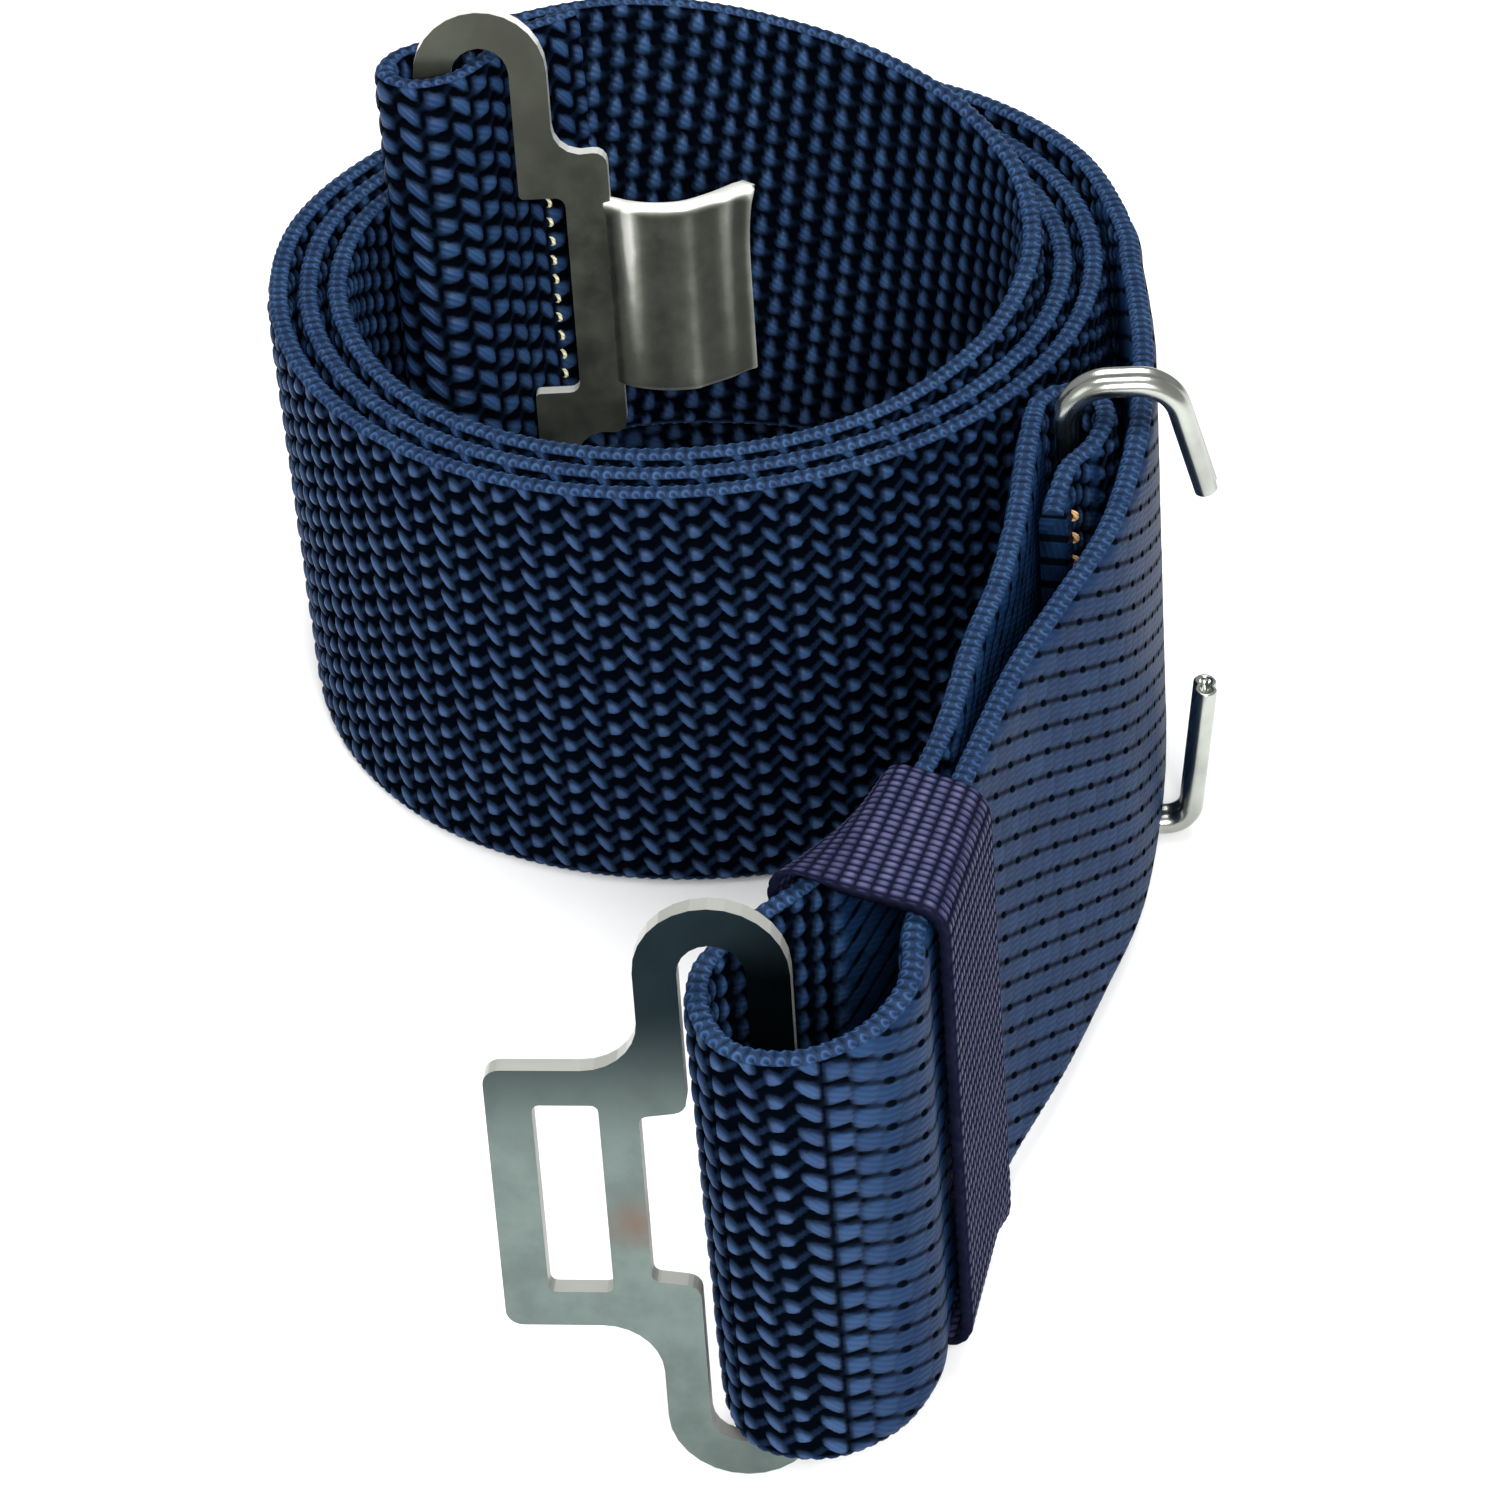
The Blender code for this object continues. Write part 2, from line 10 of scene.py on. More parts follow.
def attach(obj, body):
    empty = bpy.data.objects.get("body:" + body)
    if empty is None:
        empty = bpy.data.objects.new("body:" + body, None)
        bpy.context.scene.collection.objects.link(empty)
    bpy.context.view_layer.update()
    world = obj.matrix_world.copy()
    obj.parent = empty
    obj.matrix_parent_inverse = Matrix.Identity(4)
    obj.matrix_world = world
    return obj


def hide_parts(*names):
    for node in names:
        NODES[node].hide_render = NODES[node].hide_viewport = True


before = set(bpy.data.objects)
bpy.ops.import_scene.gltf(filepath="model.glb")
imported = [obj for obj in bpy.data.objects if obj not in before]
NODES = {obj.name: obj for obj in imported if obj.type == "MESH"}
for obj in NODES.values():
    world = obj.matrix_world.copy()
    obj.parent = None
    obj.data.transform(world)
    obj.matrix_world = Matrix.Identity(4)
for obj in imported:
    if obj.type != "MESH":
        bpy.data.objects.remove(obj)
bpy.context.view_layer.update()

MM = 0.001

# Middle of the belt's box in the belt's own frame, in millimetres: the row frame's origin
BELT_CENTRE = np.array((1.25, -44.45, 0.0))

# Webbing: the same path as the CAD's. Lengths in millimetres, places along the coil in turns
STRAP_WIDTH = 50.8
STRAP_THICKNESS = 2.8
COIL_PITCH = 3.15
COIL_CENTRE_X = -1.4
COIL_HALF_WIDTH = 34.9
COIL_HALF_DEPTH = 31.0
COIL_FIRST_TURN = 0.15
COIL_LAST_TURN = 3.5
INNER_LEAN_ROOM = 2.6
LOOP_BULGE = 2.3
OUTER_STEP_OUT = 0.4
INNER_RISE = 15.5
LOOP_RISE = 1.5
INNER_LEAN = 5.5
TAIL_LIFT_AT_HOOK = 3.4
POINTS_PER_TURN = 16
LOOP_BULGE_AT = math.radians(30.0)
TAIL_LIFT_SHARE = 0.35
BEND_SMOOTHING = 90

# Fades along the coil: the turn each one starts from and the turns it takes, backwards if below 0
STEP_IN_FADE = (0.62, -0.50)
OUTER_STEP_FADE = (3.15, 0.3)
BULGE_FADE = (0.5, 0.3)
INNER_RISE_FADE = (0.72, -0.62)
LOOP_RISE_FADE = (0.30, -0.15)
TAIL_LIFT_FADE = (3.1, 0.5)
INNER_LEAN_FADE = (0.42, -0.30)

# Centre x, y of the sewn loop that holds the hook buckle

HOOK_LOOP = (
    (-12.0, 21.5), (-15.2, 20.1), (-18.0, 18.6), (-19.9, 16.5), (-21.9, 13.7), (-24.4, 11.2),
    (-28.1, 9.9), (-31.0, 10.9), (-32.1, 13.2), (-31.0, 15.7), (-28.2, 17.3),
)
# Centre x, y, lift and the top edge's lean x, y of the tail, out to the fold and back
TAIL_OUT = (
    (43.3, -6.0, 1.3, 0.0, 0.0),
    (43.2, -14.0, 1.8, 0.0, 0.0),
    (42.7, -24.0, 2.6, 0.0, 0.0),
    (40.8, -38.0, 3.4, 0.0, 0.0),
    (36.8, -53.5, 3.7, -0.4, 0.2),
    (31.3, -65.6, 4.1, -0.9, 0.4),
    (26.6, -75.5, 4.5, -1.2, 0.6),
    (21.3, -87.2, 4.9, -0.6, 0.3),
    (18.1, -95.0, 5.2, -0.3, 0.1),
    (15.0, -104.0, 5.4, 0.0, 0.0),
    (13.1, -112.0, 5.6, 0.1, -0.2),
    (11.9, -119.0, 5.7, 0.2, -0.4),
    (7.9, -124.8, 5.7, 0.1, -0.4),
    (1.8, -127.4, 5.7, 0.0, -0.4),
    (-3.8, -125.7, 5.7, 0.0, -0.4),
    (-6.2, -120.8, 5.7, -0.1, -0.3),
    (-5.7, -115.0, 5.7, -0.1, -0.1),
)
TAIL_BACK = (
    (-2.1, -110.3, 5.7, 0.0, 0.0),
    (3.4, -105.2, 5.5, 0.0, 0.0),
    (9.3, -98.8, 5.3, 0.0, 0.0),
    (14.3, -92.0, 5.0, 0.0, 0.0),
    (17.8, -84.2, 4.7, 0.0, 0.0),
    (21.9, -70.0, 4.3, 0.0, 0.0),
    (25.2, -60.5, 4.0, 0.0, 0.0),
    (27.8, -50.0, 3.8, 0.0, 0.0),
    (29.6, -40.0, 3.6, 0.0, 0.0),
    (30.8, -34.2, 3.4, 0.0, 0.0),
    (31.5, -31.9, 3.4, 0.0, 0.0),
    (33.2, -30.4, 3.4, 0.0, 0.0),
    (35.5, -30.4, 3.4, 0.0, 0.0),
    (37.3, -31.9, 3.4, 0.0, 0.0),
    (37.9, -34.5, 3.4, 0.0, 0.0),
    (36.4, -39.3, 3.5, 0.0, 0.0),
    (33.6, -43.0, 3.6, 0.0, 0.0),
    (32.1, -47.2, 3.8, 0.0, 0.0),
    (31.0, -51.5, 3.9, 0.0, 0.0),
)

# Adjuster hook, in millimetres
ADJUSTER_BAR = (33.9, -35.3)
ADJUSTER_OUTER = (47.6, -36.2)
ADJUSTER_STRIP_WIDTH = 3.6
ADJUSTER_STRIP_THICKNESS = 2.6
ADJUSTER_LOW, ADJUSTER_HIGH = 1.6, 58.0
ADJUSTER_END_LOW, ADJUSTER_END_HIGH = 19.3, 44.7
ADJUSTER_LOW_END_IN = 0.5
ADJUSTER_BEND = 4.4
ADJUSTER_LOW_SHOULDER, ADJUSTER_SHOULDER = 11.3, 10.4

# Tongue of the hook buckle, in millimetres: reach and depth of its curved section. Its skin starts
# past the bend out of the plate and ends a little past the CAD's tip and top
TONGUE_LINE = ((1.2, 0.0), (4.2, 0.0), (6.2, -1.3), (9.0, -2.4), (12.2, -2.4), (15.2, -0.6), (18.5, 2.4))
TONGUE_HALF_HEIGHT = 10.3
TONGUE_STEPS, TONGUE_SKIN_FROM = 14, 15
TONGUE_ROWS = 65
TONGUE_PAST = 0.45
TONGUE_RIDGE, TONGUE_RIB, TONGUE_FOLD = 7.0, 12.6, 16.0
TONGUE_FLARE = 1.6
HOOK_PRONG_REACH = 7.9 + (7.0 + 3.05) / 2
HOOK_PRONG = (-27.6, 13.2, 40.8)

# How far each plate is turned about z and leans
HOOK_TURN, HOOK_LEAN = math.radians(-3.5), math.radians(-12.2)
FRAME_TURN, FRAME_LEAN = math.radians(-7.5), math.radians(-5.5)
PLATE_SOFTENING = 0.42

# Spots of rust, in metres in the row frame
RUST = {"frame_buckle": (-0.0150, -0.0748, 0.0297)}

# Keeper, in millimetres: plan corners, inner side first, at its coil end and its fold end
KEEPER_COIL_END = ((12.0, -89.9), (21.6, -96.2))
KEEPER_FOLD_END = ((0.2, -104.2), (16.3, -112.8))
KEEPER_LOW, KEEPER_HIGH = 3.0, 58.0
KEEPER_CORNER = 3.4
KEEPER_THICKNESS = 1.2
KEEPER_ROUND_STEPS, KEEPER_COLUMNS = 900, 190
KEEPER_PITCH_ROUND, KEEPER_PITCH_SIDE = 1.15, 0.86
KEEPER_RELIEF = 0.16

# Stitches, in millimetres
STITCH_SHARE = 0.46
STITCH_STEPS, STITCH_SIDES = 9, 8
STITCH_RISE, STITCH_DIP = 0.30, 0.75

# Weave of the webbing, in millimetres
PICK = 2.45
GRAINS = 18
GRAIN_PITCH = STRAP_WIDTH / GRAINS
STATION = PICK / 6
GRAIN_STEPS = 8
EDGE_STEPS = 9
RIM = 0.75
EDGE_REACH, EDGE_BEAD_REACH, EDGE_THICKNESS = 0.40, 0.30, 0.76
HASH_FACTORS, HASH_SCALE = (12.9898, 78.233, 37.719), 43758.5453

# The cloth's three states. It starts to open or to press together at a bend (1/mm), over a span.
# For the floats: half length, half height, power of the outline, and depth of the gaps
BEND_START, BEND_SPAN = 0.0145, 0.006
FLAT_REACH, FLAT_TALL, FLAT_POWER, FLAT_DEEP = 1.85, 1.70, 4.6, 0.30
PRESSED_REACH, PRESSED_TALL, PRESSED_POWER, PRESSED_DEEP = 0.88, 1.45, 2.3, 0.78
OPENED_POWER, OPENED_DEEP = 2.5, 0.80
# Opened, the odd and the even columns differ: half length, half height, slant and taper
ODD_GRAIN = (1.02, 1.02, 0.95, 0.50)
EVEN_GRAIN = (0.90, 1.30, 0.16, 0.62)
BINDER_HALF_WIDTH, BINDER_HALF_LENGTH, BINDER_RISE = 0.85, 1.15, 0.52

# Where the cloth keeps its set: lengths along the webbing in millimetres, bends in 1/mm
LOOP_END, LOOP_BEND = 33.0, 0.0192
FIRST_TURN_END, FOLD_INSIDE, HELD_BEND = 200.0, 34.0, 0.024
TIGHT_LENGTH, TIGHT_FADE = 140.0, 9.0

# Painted shade in the dents of the flat cloth: half sizes of the pits (mm) and width of the seams (share
# of a grain)
PIT_HALF_LENGTH, PIT_HALF_HEIGHT = 0.90, 0.48
SEAM_EDGE, SEAM_CORE, SEAM_DEPTH = 0.16, 0.03, 0.80
RING_SCALE = 2.6
YARN_STRANDS = 9.0

# Painted shade by the relief's height, for the woven pieces: colours between the yarns, on their flanks
# and on top of them
NAVY = ((0.0011, 0.0021, 0.0042), (0.009, 0.020, 0.045), (0.025, 0.066, 0.160))
KEEPER_BLUE = ((0.007, 0.008, 0.020), (0.026, 0.029, 0.066), (0.066, 0.073, 0.150))

# Studio: light places and sizes in metres, power in watts
LIGHT_AIM = (0.0, 0.0, 0.02)
LIGHTS = (
    ("key", (0.10, -0.70, 0.55), (0.30, 0.30), 9.0),
    ("fill", (-0.65, -0.30, 0.55), (0.5, 0.5), 1.2),
    ("top", (0.05, 0.15, 0.85), (0.6, 0.5), 7.0),
)
WORLD_STRENGTH = 0.5
FLOOR_HALF, FLOOR_DROP = 3.0, 0.0002
CAMERA_LENS = 141.6
CAMERA_ELEVATION, CAMERA_ROLL = math.radians(39.3), math.radians(4.8)
CAMERA_DISTANCE = 0.592
CAMERA_TARGET = (-0.00125, -0.00355, 0.0254)


def fade(turn, start, span):
    """0 to 1 with level ends, from a turn of the coil on, over a span of turns."""
    value = min(1.0, max(0.0, (turn - start) / span))
    return value * value * (3.0 - 2.0 * value)


def coil_station(turn):
    """Centre x, y, lift and the top edge's lean x, y of the webbing, at a turn of the spiral."""
    step_in = INNER_LEAN_ROOM * fade(turn, *STEP_IN_FADE)
    half_width = COIL_HALF_WIDTH + COIL_PITCH * (turn - 0.50) - step_in
    half_width += OUTER_STEP_OUT * fade(turn, *OUTER_STEP_FADE)
    half_depth = COIL_HALF_DEPTH + COIL_PITCH * (turn - 0.75) - step_in
    angle = math.tau * turn
    bulge = LOOP_BULGE * max(0.0, math.cos(angle - LOOP_BULGE_AT)) ** 8
    bulge *= fade(turn, *BULGE_FADE)
    x = COIL_CENTRE_X - (half_width + bulge) * math.cos(angle)
    y = (half_depth + bulge) * math.sin(angle)
    lift = INNER_RISE * fade(turn, *INNER_RISE_FADE) + LOOP_RISE * fade(turn, *LOOP_RISE_FADE)
    lift += TAIL_LIFT_AT_HOOK * TAIL_LIFT_SHARE * fade(turn, *TAIL_LIFT_FADE)
    return (x, y, lift, 0.0, INNER_LEAN * fade(turn, *INNER_LEAN_FADE))


def strap_controls():
    """Control stations of the whole webbing, from the inner cut edge to the outer one."""
    stations = [(x, y, INNER_RISE + LOOP_RISE, 0.0, INNER_LEAN) for x, y in HOOK_LOOP]
    span = COIL_LAST_TURN - COIL_FIRST_TURN
    steps = round(span * POINTS_PER_TURN)
    stations += [coil_station(COIL_FIRST_TURN + span * i / steps) for i in range(steps + 1)]
    return stations + list(TAIL_OUT) + list(TAIL_BACK)


def catmull(a, b, c, d, t0, t1, t2, t3, t):
    """One value of a centripetal Catmull-Rom span."""
    ab = a + (b - a) * (t - t0) / (t1 - t0)
    bc = b + (c - b) * (t - t1) / (t2 - t1)
    cd = c + (d - c) * (t - t2) / (t3 - t2)
    abc = ab + (bc - ab) * (t - t0) / (t2 - t0)
    bcd = bc + (cd - bc) * (t - t1) / (t3 - t1)
    return abc + (bcd - abc) * (t - t1) / (t2 - t1)


def smooth(controls, per_span=24):
    """Points on a centripetal Catmull-Rom curve through the controls, which may hold extra values."""
    points = [tuple(p) for p in controls]
    first = tuple(2 * a - b for a, b in zip(points[0], points[1]))
    last = tuple(2 * a - b for a, b in zip(points[-1], points[-2]))
    padded = [first] + points + [last]
    found = []
    for i in range(len(padded) - 3):
        spans = padded[i : i + 4]
        knots = [0.0]
        for a, b in zip(spans, spans[1:]):
            knots.append(knots[-1] + max(math.sqrt(math.dist(a[:2], b[:2])), 1e-4))
        for k in range(per_span):
            t = knots[1] + (knots[2] - knots[1]) * k / per_span
            found.append(tuple(catmull(*values, *knots, t) for values in zip(*spans)))
    return found + [points[-1]]


def resampled(points, spacing):
    """Rows of the points at an even spacing along their plan length, and those lengths."""
    rows = np.array(points, dtype=float)
    length = np.concatenate([[0.0], np.cumsum(np.hypot(*np.diff(rows[:, :2], axis=0).T))])
    at = np.linspace(0.0, length[-1], round(length[-1] / spacing) + 1)
    return np.stack([np.interp(at, length, rows[:, k]) for k in range(rows.shape[1])], 1), at


def unit(vectors):
    """The vectors at length 1."""
    return vectors / np.linalg.norm(vectors, axis=1, keepdims=True)


def swell(values, spread, centre=0.0):
    """A bell of height 1 at the centre."""
    return np.exp(-(((values - centre) / spread) ** 2))


def smoothed(values, passes):
    """Values after passes of neighbour averaging, ends held."""
    out = values.copy()
    for _ in range(passes):
        out[1:-1] = 0.25 * out[:-2] + 0.5 * out[1:-1] + 0.25 * out[2:]
    return out


class Band:
    """A flat band's centre line, with its width and outward directions at every station."""

    def __init__(self, rows, at, width):
        half = width / 2
        self.at = at
        self.centre = np.stack([rows[:, 0], rows[:, 1], half + rows[:, 2]], 1)
        tangent = unit(np.gradient(self.centre, axis=0))
        level = tangent.copy()
        level[:, 2] = 0.0
        level = unit(level)
        up = np.stack([rows[:, 3], rows[:, 4], np.full(len(rows), half)], 1)
        up -= level * (tangent[:, 2:3] * half)
        self.up = unit(up)
        self.out = unit(np.cross(self.up, tangent))
        self.tangent = tangent
        turn = np.gradient(np.unwrap(np.arctan2(tangent[:, 1], tangent[:, 0])), at)
        self.bend = -smoothed(turn, BEND_SMOOTHING)
        # Its set: the sewn loop stays half open, the first turn's inner side and the inside of
        # the fold stay pressed where they run straight, as where they curve
        fold = int(np.argmin(self.centre[:, 1]))
        held = (at < FIRST_TURN_END) | ((at > at[fold]) & (at < at[fold] + FOLD_INSIDE))
        self.bend = np.where(held, np.maximum(self.bend, HELD_BEND), self.bend)
        self.bend = np.where(at < LOOP_END, LOOP_BEND, self.bend)
        # How far the floats may open: pulled tight on the tail's way out, as far as the fold's front
        lead = (at[fold] - at) / TIGHT_FADE + 0.1
        self.loose = 1.0 - np.clip(lead, 0.0, 1.0) * (at > at[fold] - TIGHT_LENGTH)

    def point(self, index, across, depth):
        """A place on the band: across its width and depth out of its middle, in millimetres."""
        return self.centre[index] + self.up[index] * across + self.out[index] * depth


def hash01(*keys):
    """A repeatable value from 0 to 1 for whole-number keys, as arrays."""
    mixed = np.zeros(np.broadcast(*keys).shape)
    for key, factor in zip(keys, HASH_FACTORS):
        mixed = mixed + np.asarray(key) * factor
    return np.modf(np.abs(np.sin(mixed) * HASH_SCALE))[0]


def weave(s, w, face, bend, loose):
    """One face's relief at along s, across w: height 0 to 1, place in the yarn, tone, depth, flatness.

    Each pick carries a column of warp floats, and one column stands half a float off the next.
    Flat, the floats close up. Bent outward they stand apart as slanted and upright grains by
    turns, as far as the cloth is loose there. Bent inward they narrow to short upright grains.
    """
    outward = bend * face
    opened = np.clip((outward - BEND_START) / BEND_SPAN, 0.0, 1.0) * loose
    pressed = np.clip((-outward - BEND_START) / BEND_SPAN, 0.0, 1.0)
    flat = 1.0 - opened - pressed
    shared_reach = FLAT_REACH * flat + PRESSED_REACH * pressed
    shared_tall = FLAT_TALL * flat + PRESSED_TALL * pressed
    power = FLAT_POWER * flat + OPENED_POWER * opened + PRESSED_POWER * pressed
    squarer = 1.0 - 0.45 * opened - 0.85 * pressed
    best = np.zeros_like(s)
    yarn = np.zeros_like(s)
    tone = np.zeros_like(s)
    column = np.floor(s / PICK + 0.5)
    for column_step in (-1, 0, 1):
        i = column + column_step
        odd = np.mod(i, 2)
        grain = [np.where(odd > 0.5, a, b) * opened for a, b in zip(ODD_GRAIN, EVEN_GRAIN)]
        reach, tall, slant, taper = shared_reach + grain[0], shared_tall + grain[1], grain[2], grain[3]
        ds = (s - i * PICK) * -face
        shift = 0.5 * odd + 0.25
        row = np.floor(w / GRAIN_PITCH - shift + 0.5)
        for row_step in (-1, 0, 1):
            j = row + row_step
            jitter = hash01(i, j, 3.0 + face) - 0.5
            dw = w - (j + shift + 0.06 * jitter) * GRAIN_PITCH + slant * ds
            u = np.clip((ds / reach + 1.0) / 2.0, 0.0, 1.0)
            u = np.where(odd > 0.5, np.abs(u - 0.62) * 1.6, u)
            bell = 1.0 - 0.50 * pressed * np.clip(dw / tall + 0.15, -1.0, 1.0)
            half = tall * (1.0 - taper * u)
            across = np.abs(dw) / np.maximum(half, 0.05)
            length = np.abs(ds) / (reach * bell)
            across, length = np.clip(across, 0.0, 1.0) ** power, np.clip(length, 0.0, 1.0) ** power
            dome = np.clip(1.0 - across - length + squarer * across * length, 0.0, 1.0)
            dome = np.sqrt(dome) * (0.94 + 0.12 * jitter)
            better = dome > best
            best = np.where(better, dome, best)
            yarn = np.where(better, dw + 0.45 * ds, yarn)
            tone = np.where(better, hash01(i, j, 7.0 + face), tone)
    # Binder yarns that cross between the columns, under the floats
    i = np.floor(s / PICK) + 0.5
    ds = (s - i * PICK) * -face
    dw = w / GRAIN_PITCH - 0.5 * np.mod(i - 0.5, 2) - 0.9 * ds / GRAIN_PITCH
    dw = (dw - np.floor(dw + 0.5)) * GRAIN_PITCH
    binder = np.clip(1.0 - (dw / BINDER_HALF_WIDTH) ** 2, 0.0, 1.0)
    binder = binder * np.clip(1.0 - (ds / BINDER_HALF_LENGTH) ** 2, 0.0, 1.0)
    binder = BINDER_RISE * np.sqrt(binder) * (opened + 0.7 * pressed)
    yarn = np.where(binder > best, w + s, yarn)
    best = np.maximum(best, binder)
    deep = FLAT_DEEP * flat + OPENED_DEEP * opened + PRESSED_DEEP * pressed
    return best, yarn, tone, deep, np.broadcast_to(flat, s.shape)


def strap_surface(band):
    """Vertices of the webbing with its relief, and the values its material reads at each of them."""
    half, thick = STRAP_WIDTH / 2, STRAP_THICKNESS / 2
    flat_reach = half - RIM
    across = np.linspace(-flat_reach, flat_reach, GRAINS * GRAIN_STEPS + 1)
    s = band.at[:, None]
    bend = band.bend[:, None]
    rings, values = [], []
    for face in (1.0, -1.0):
        grid_s, grid_w = np.broadcast_arrays(s, (across * face)[None, :])
        height, yarn, tone, deep, flat = weave(grid_s, grid_w, face, bend, band.loose[:, None])
        rim = np.clip((flat_reach - np.abs(grid_w)) / 1.1, 0.0, 1.0)
        depth = (thick - deep * (1.0 - height)) * (0.80 + 0.20 * np.sqrt(rim))
        rings.append((grid_w, face * depth))
        twill_row = grid_w / GRAIN_PITCH - 0.25
        values.append((height, yarn, tone, twill_row, flat, np.zeros_like(height)))
        # The woven edge after this face: small loops round the half-round rim
        angle = np.linspace(0.0, np.pi, EDGE_STEPS + 2)[1:-1][None, :]
        bead = np.abs(np.cos(np.pi * (s / PICK) * 2.0 + angle)) ** 0.8
        reach = flat_reach + (EDGE_REACH + EDGE_BEAD_REACH * bead) * np.sin(angle)
        swollen = 0.88 + 0.16 * bead
        rings.append((face * reach, face * thick * EDGE_THICKNESS * swollen * np.cos(angle)))
        wide = np.broadcast_to(bead, reach.shape)
        values.append((
            0.58 + 0.40 * wide, np.broadcast_to(s, reach.shape) * 0.7,
            np.broadcast_to(hash01(np.floor(s / PICK), face, 1.0), reach.shape),
            np.broadcast_to(angle / np.pi, reach.shape), np.zeros_like(reach), np.ones_like(reach),
        ))
    across_all = np.concatenate([r[0] for r in rings], 1)
    depth_all = np.concatenate([np.broadcast_to(r[1], r[0].shape) for r in rings], 1)
    places = (
        band.centre[:, None, :]
        + band.up[:, None, :] * across_all[:, :, None]
        + band.out[:, None, :] * depth_all[:, :, None]
    )
    names = ("height", "yarn", "tone", "across", "flat", "edge")
    fields = {name: np.concatenate([v[k] for v in values], 1) for k, name in enumerate(names)}
    fields["along"] = np.broadcast_to(s / PICK, across_all.shape)
    return places, fields


def ring_faces(stations, around, closed=False):
    """Quads of a tube of rings of vertices, open or joined end to end."""
    i = np.arange(stations if closed else stations - 1)[:, None]
    j = np.arange(around)[None, :]
    ahead = (i + 1) % stations
    beside = (j + 1) % around
    quads = np.stack(
        [i * around + j, i * around + beside, ahead * around + beside, ahead * around + j], -1
    )
    return quads.reshape(-1, 4)


def end_caps(stations, around):
    """The faces that close the first and the last ring of an open tube."""
    return [list(range(around))[::-1], list(range((stations - 1) * around, stations * around))]


def mesh_object(name, verts, quads, caps=(), fields=None):
    """A smooth-shaded mesh object, in the row frame, from millimetres in the belt's own frame."""
    made = bpy.data.meshes.new(name)
    places = (np.asarray(verts, dtype=float) - BELT_CENTRE) * MM
    corners = np.concatenate([np.ravel(quads)] + [np.array(c) for c in caps]).astype(np.int32)
    sizes = np.array([4] * len(quads) + [len(c) for c in caps])
    starts = np.concatenate([[0], np.cumsum(sizes)[:-1]])
    made.vertices.add(len(places))
    made.vertices.foreach_set("co", places.astype(np.float32).ravel())
    made.loops.add(len(corners))
    made.loops.foreach_set("vertex_index", corners)
    made.polygons.add(len(sizes))
    made.polygons.foreach_set("loop_start", starts.astype(np.int32))
    made.update(calc_edges=True)
    made.validate()
    made.shade_smooth()
    for field, values in (fields or {}).items():
        layer = made.attributes.new(field, "FLOAT", "POINT")
        layer.data.foreach_set("value", np.ascontiguousarray(values, dtype=np.float32).ravel())
    made.update()
    piece = bpy.data.objects.new(name, made)
    bpy.context.scene.collection.objects.link(piece)
    return piece


def grey(level):
    """An even grey."""
    return (level, level, level)


class Shader:
    """A Principled material and short ways to add nodes to it."""

    def __init__(self, name, roughness, metallic=0.0):
        self.material = bpy.data.materials.new(name)
        self.material.use_nodes = True
        self.tree = self.material.node_tree
        self.surface = self.tree.nodes["Principled BSDF"]
        self.surface.inputs["Roughness"].default_value = roughness
        self.surface.inputs["Metallic"].default_value = metallic

    def node(self, kind, **settings):
        made = self.tree.nodes.new(kind)
        for key, value in settings.items():
            setattr(made, key, value)
        return made

    def link(self, source, target):
        self.tree.links.new(source, target)

    def field(self, name):
        """A value that the mesh holds at each vertex."""
        return self.node("ShaderNodeAttribute", attribute_name=name).outputs["Fac"]

    def calc(self, operation, a, b=0.0):
        """Result of a maths node on numbers or sockets."""
        made = self.node("ShaderNodeMath", operation=operation)
        for socket, value in zip(made.inputs, (a, b)):
            if isinstance(value, (int, float)):
                socket.default_value = value
            else:
                self.link(value, socket)
        return made.outputs[0]

    def cell(self, value, shift=0.0):
        """Place of a value within its whole number, from -0.5 to 0.5."""
        if shift:
            value = self.calc("ADD", value, shift)
        return self.calc("SUBTRACT", self.calc("FRACT", value), 0.5)

    def apart(self, a, b):
        """Squared distance from zero of a pair of values."""
        return self.calc("ADD", self.calc("MULTIPLY", a, a), self.calc("MULTIPLY", b, b))

    def step(self, value, start, stop, top=1.0):
        """A smooth step up from 0 between two values."""
        made = self.node("ShaderNodeMapRange", interpolation_type="SMOOTHSTEP")
        made.inputs["From Min"].default_value = start
        made.inputs["From Max"].default_value = stop
        made.inputs["To Max"].default_value = top
        self.link(value, made.inputs["Value"])
        return made.outputs["Result"]

    def ramp(self, source, stops, interpolation="EASE"):
        made = self.node("ShaderNodeValToRGB")
        made.color_ramp.interpolation = interpolation
        elements = made.color_ramp.elements
        while len(elements) < len(stops):
            elements.new(0.5)
        for element, (place, colour) in zip(elements, stops):
            element.position = place
            element.color = (*colour, 1.0)
        self.link(source, made.inputs["Fac"])
        return made.outputs["Color"]

    def mix(self, factor, a, b, blend="MIX"):
        made = self.node("ShaderNodeMix", data_type="RGBA", blend_type=blend)
        for socket, value in ((made.inputs["Factor"], factor), (made.inputs[6], a), (made.inputs[7], b)):
            if isinstance(value, (int, float)):
                socket.default_value = value
            elif isinstance(value, tuple):
                socket.default_value = (*value, 1.0)
            else:
                self.link(value, socket)
        return made.outputs[2]

    def noise(self, scale, detail=3.0, roughness=0.6, coordinate=None):
        made = self.node("ShaderNodeTexNoise")
        made.inputs["Scale"].default_value = scale
        made.inputs["Detail"].default_value = detail
        made.inputs["Roughness"].default_value = roughness
        if coordinate is None:
            coordinate = self.node("ShaderNodeTexCoord").outputs["Object"]
        self.link(coordinate, made.inputs["Vector"])
        return made.outputs["Fac"]

    def bump(self, height, strength, distance):
        made = self.node("ShaderNodeBump")
        made.inputs["Strength"].default_value = strength
        made.inputs["Distance"].default_value = distance
        self.link(height, made.inputs["Height"])
        self.link(made.outputs["Normal"], self.surface.inputs["Normal"])


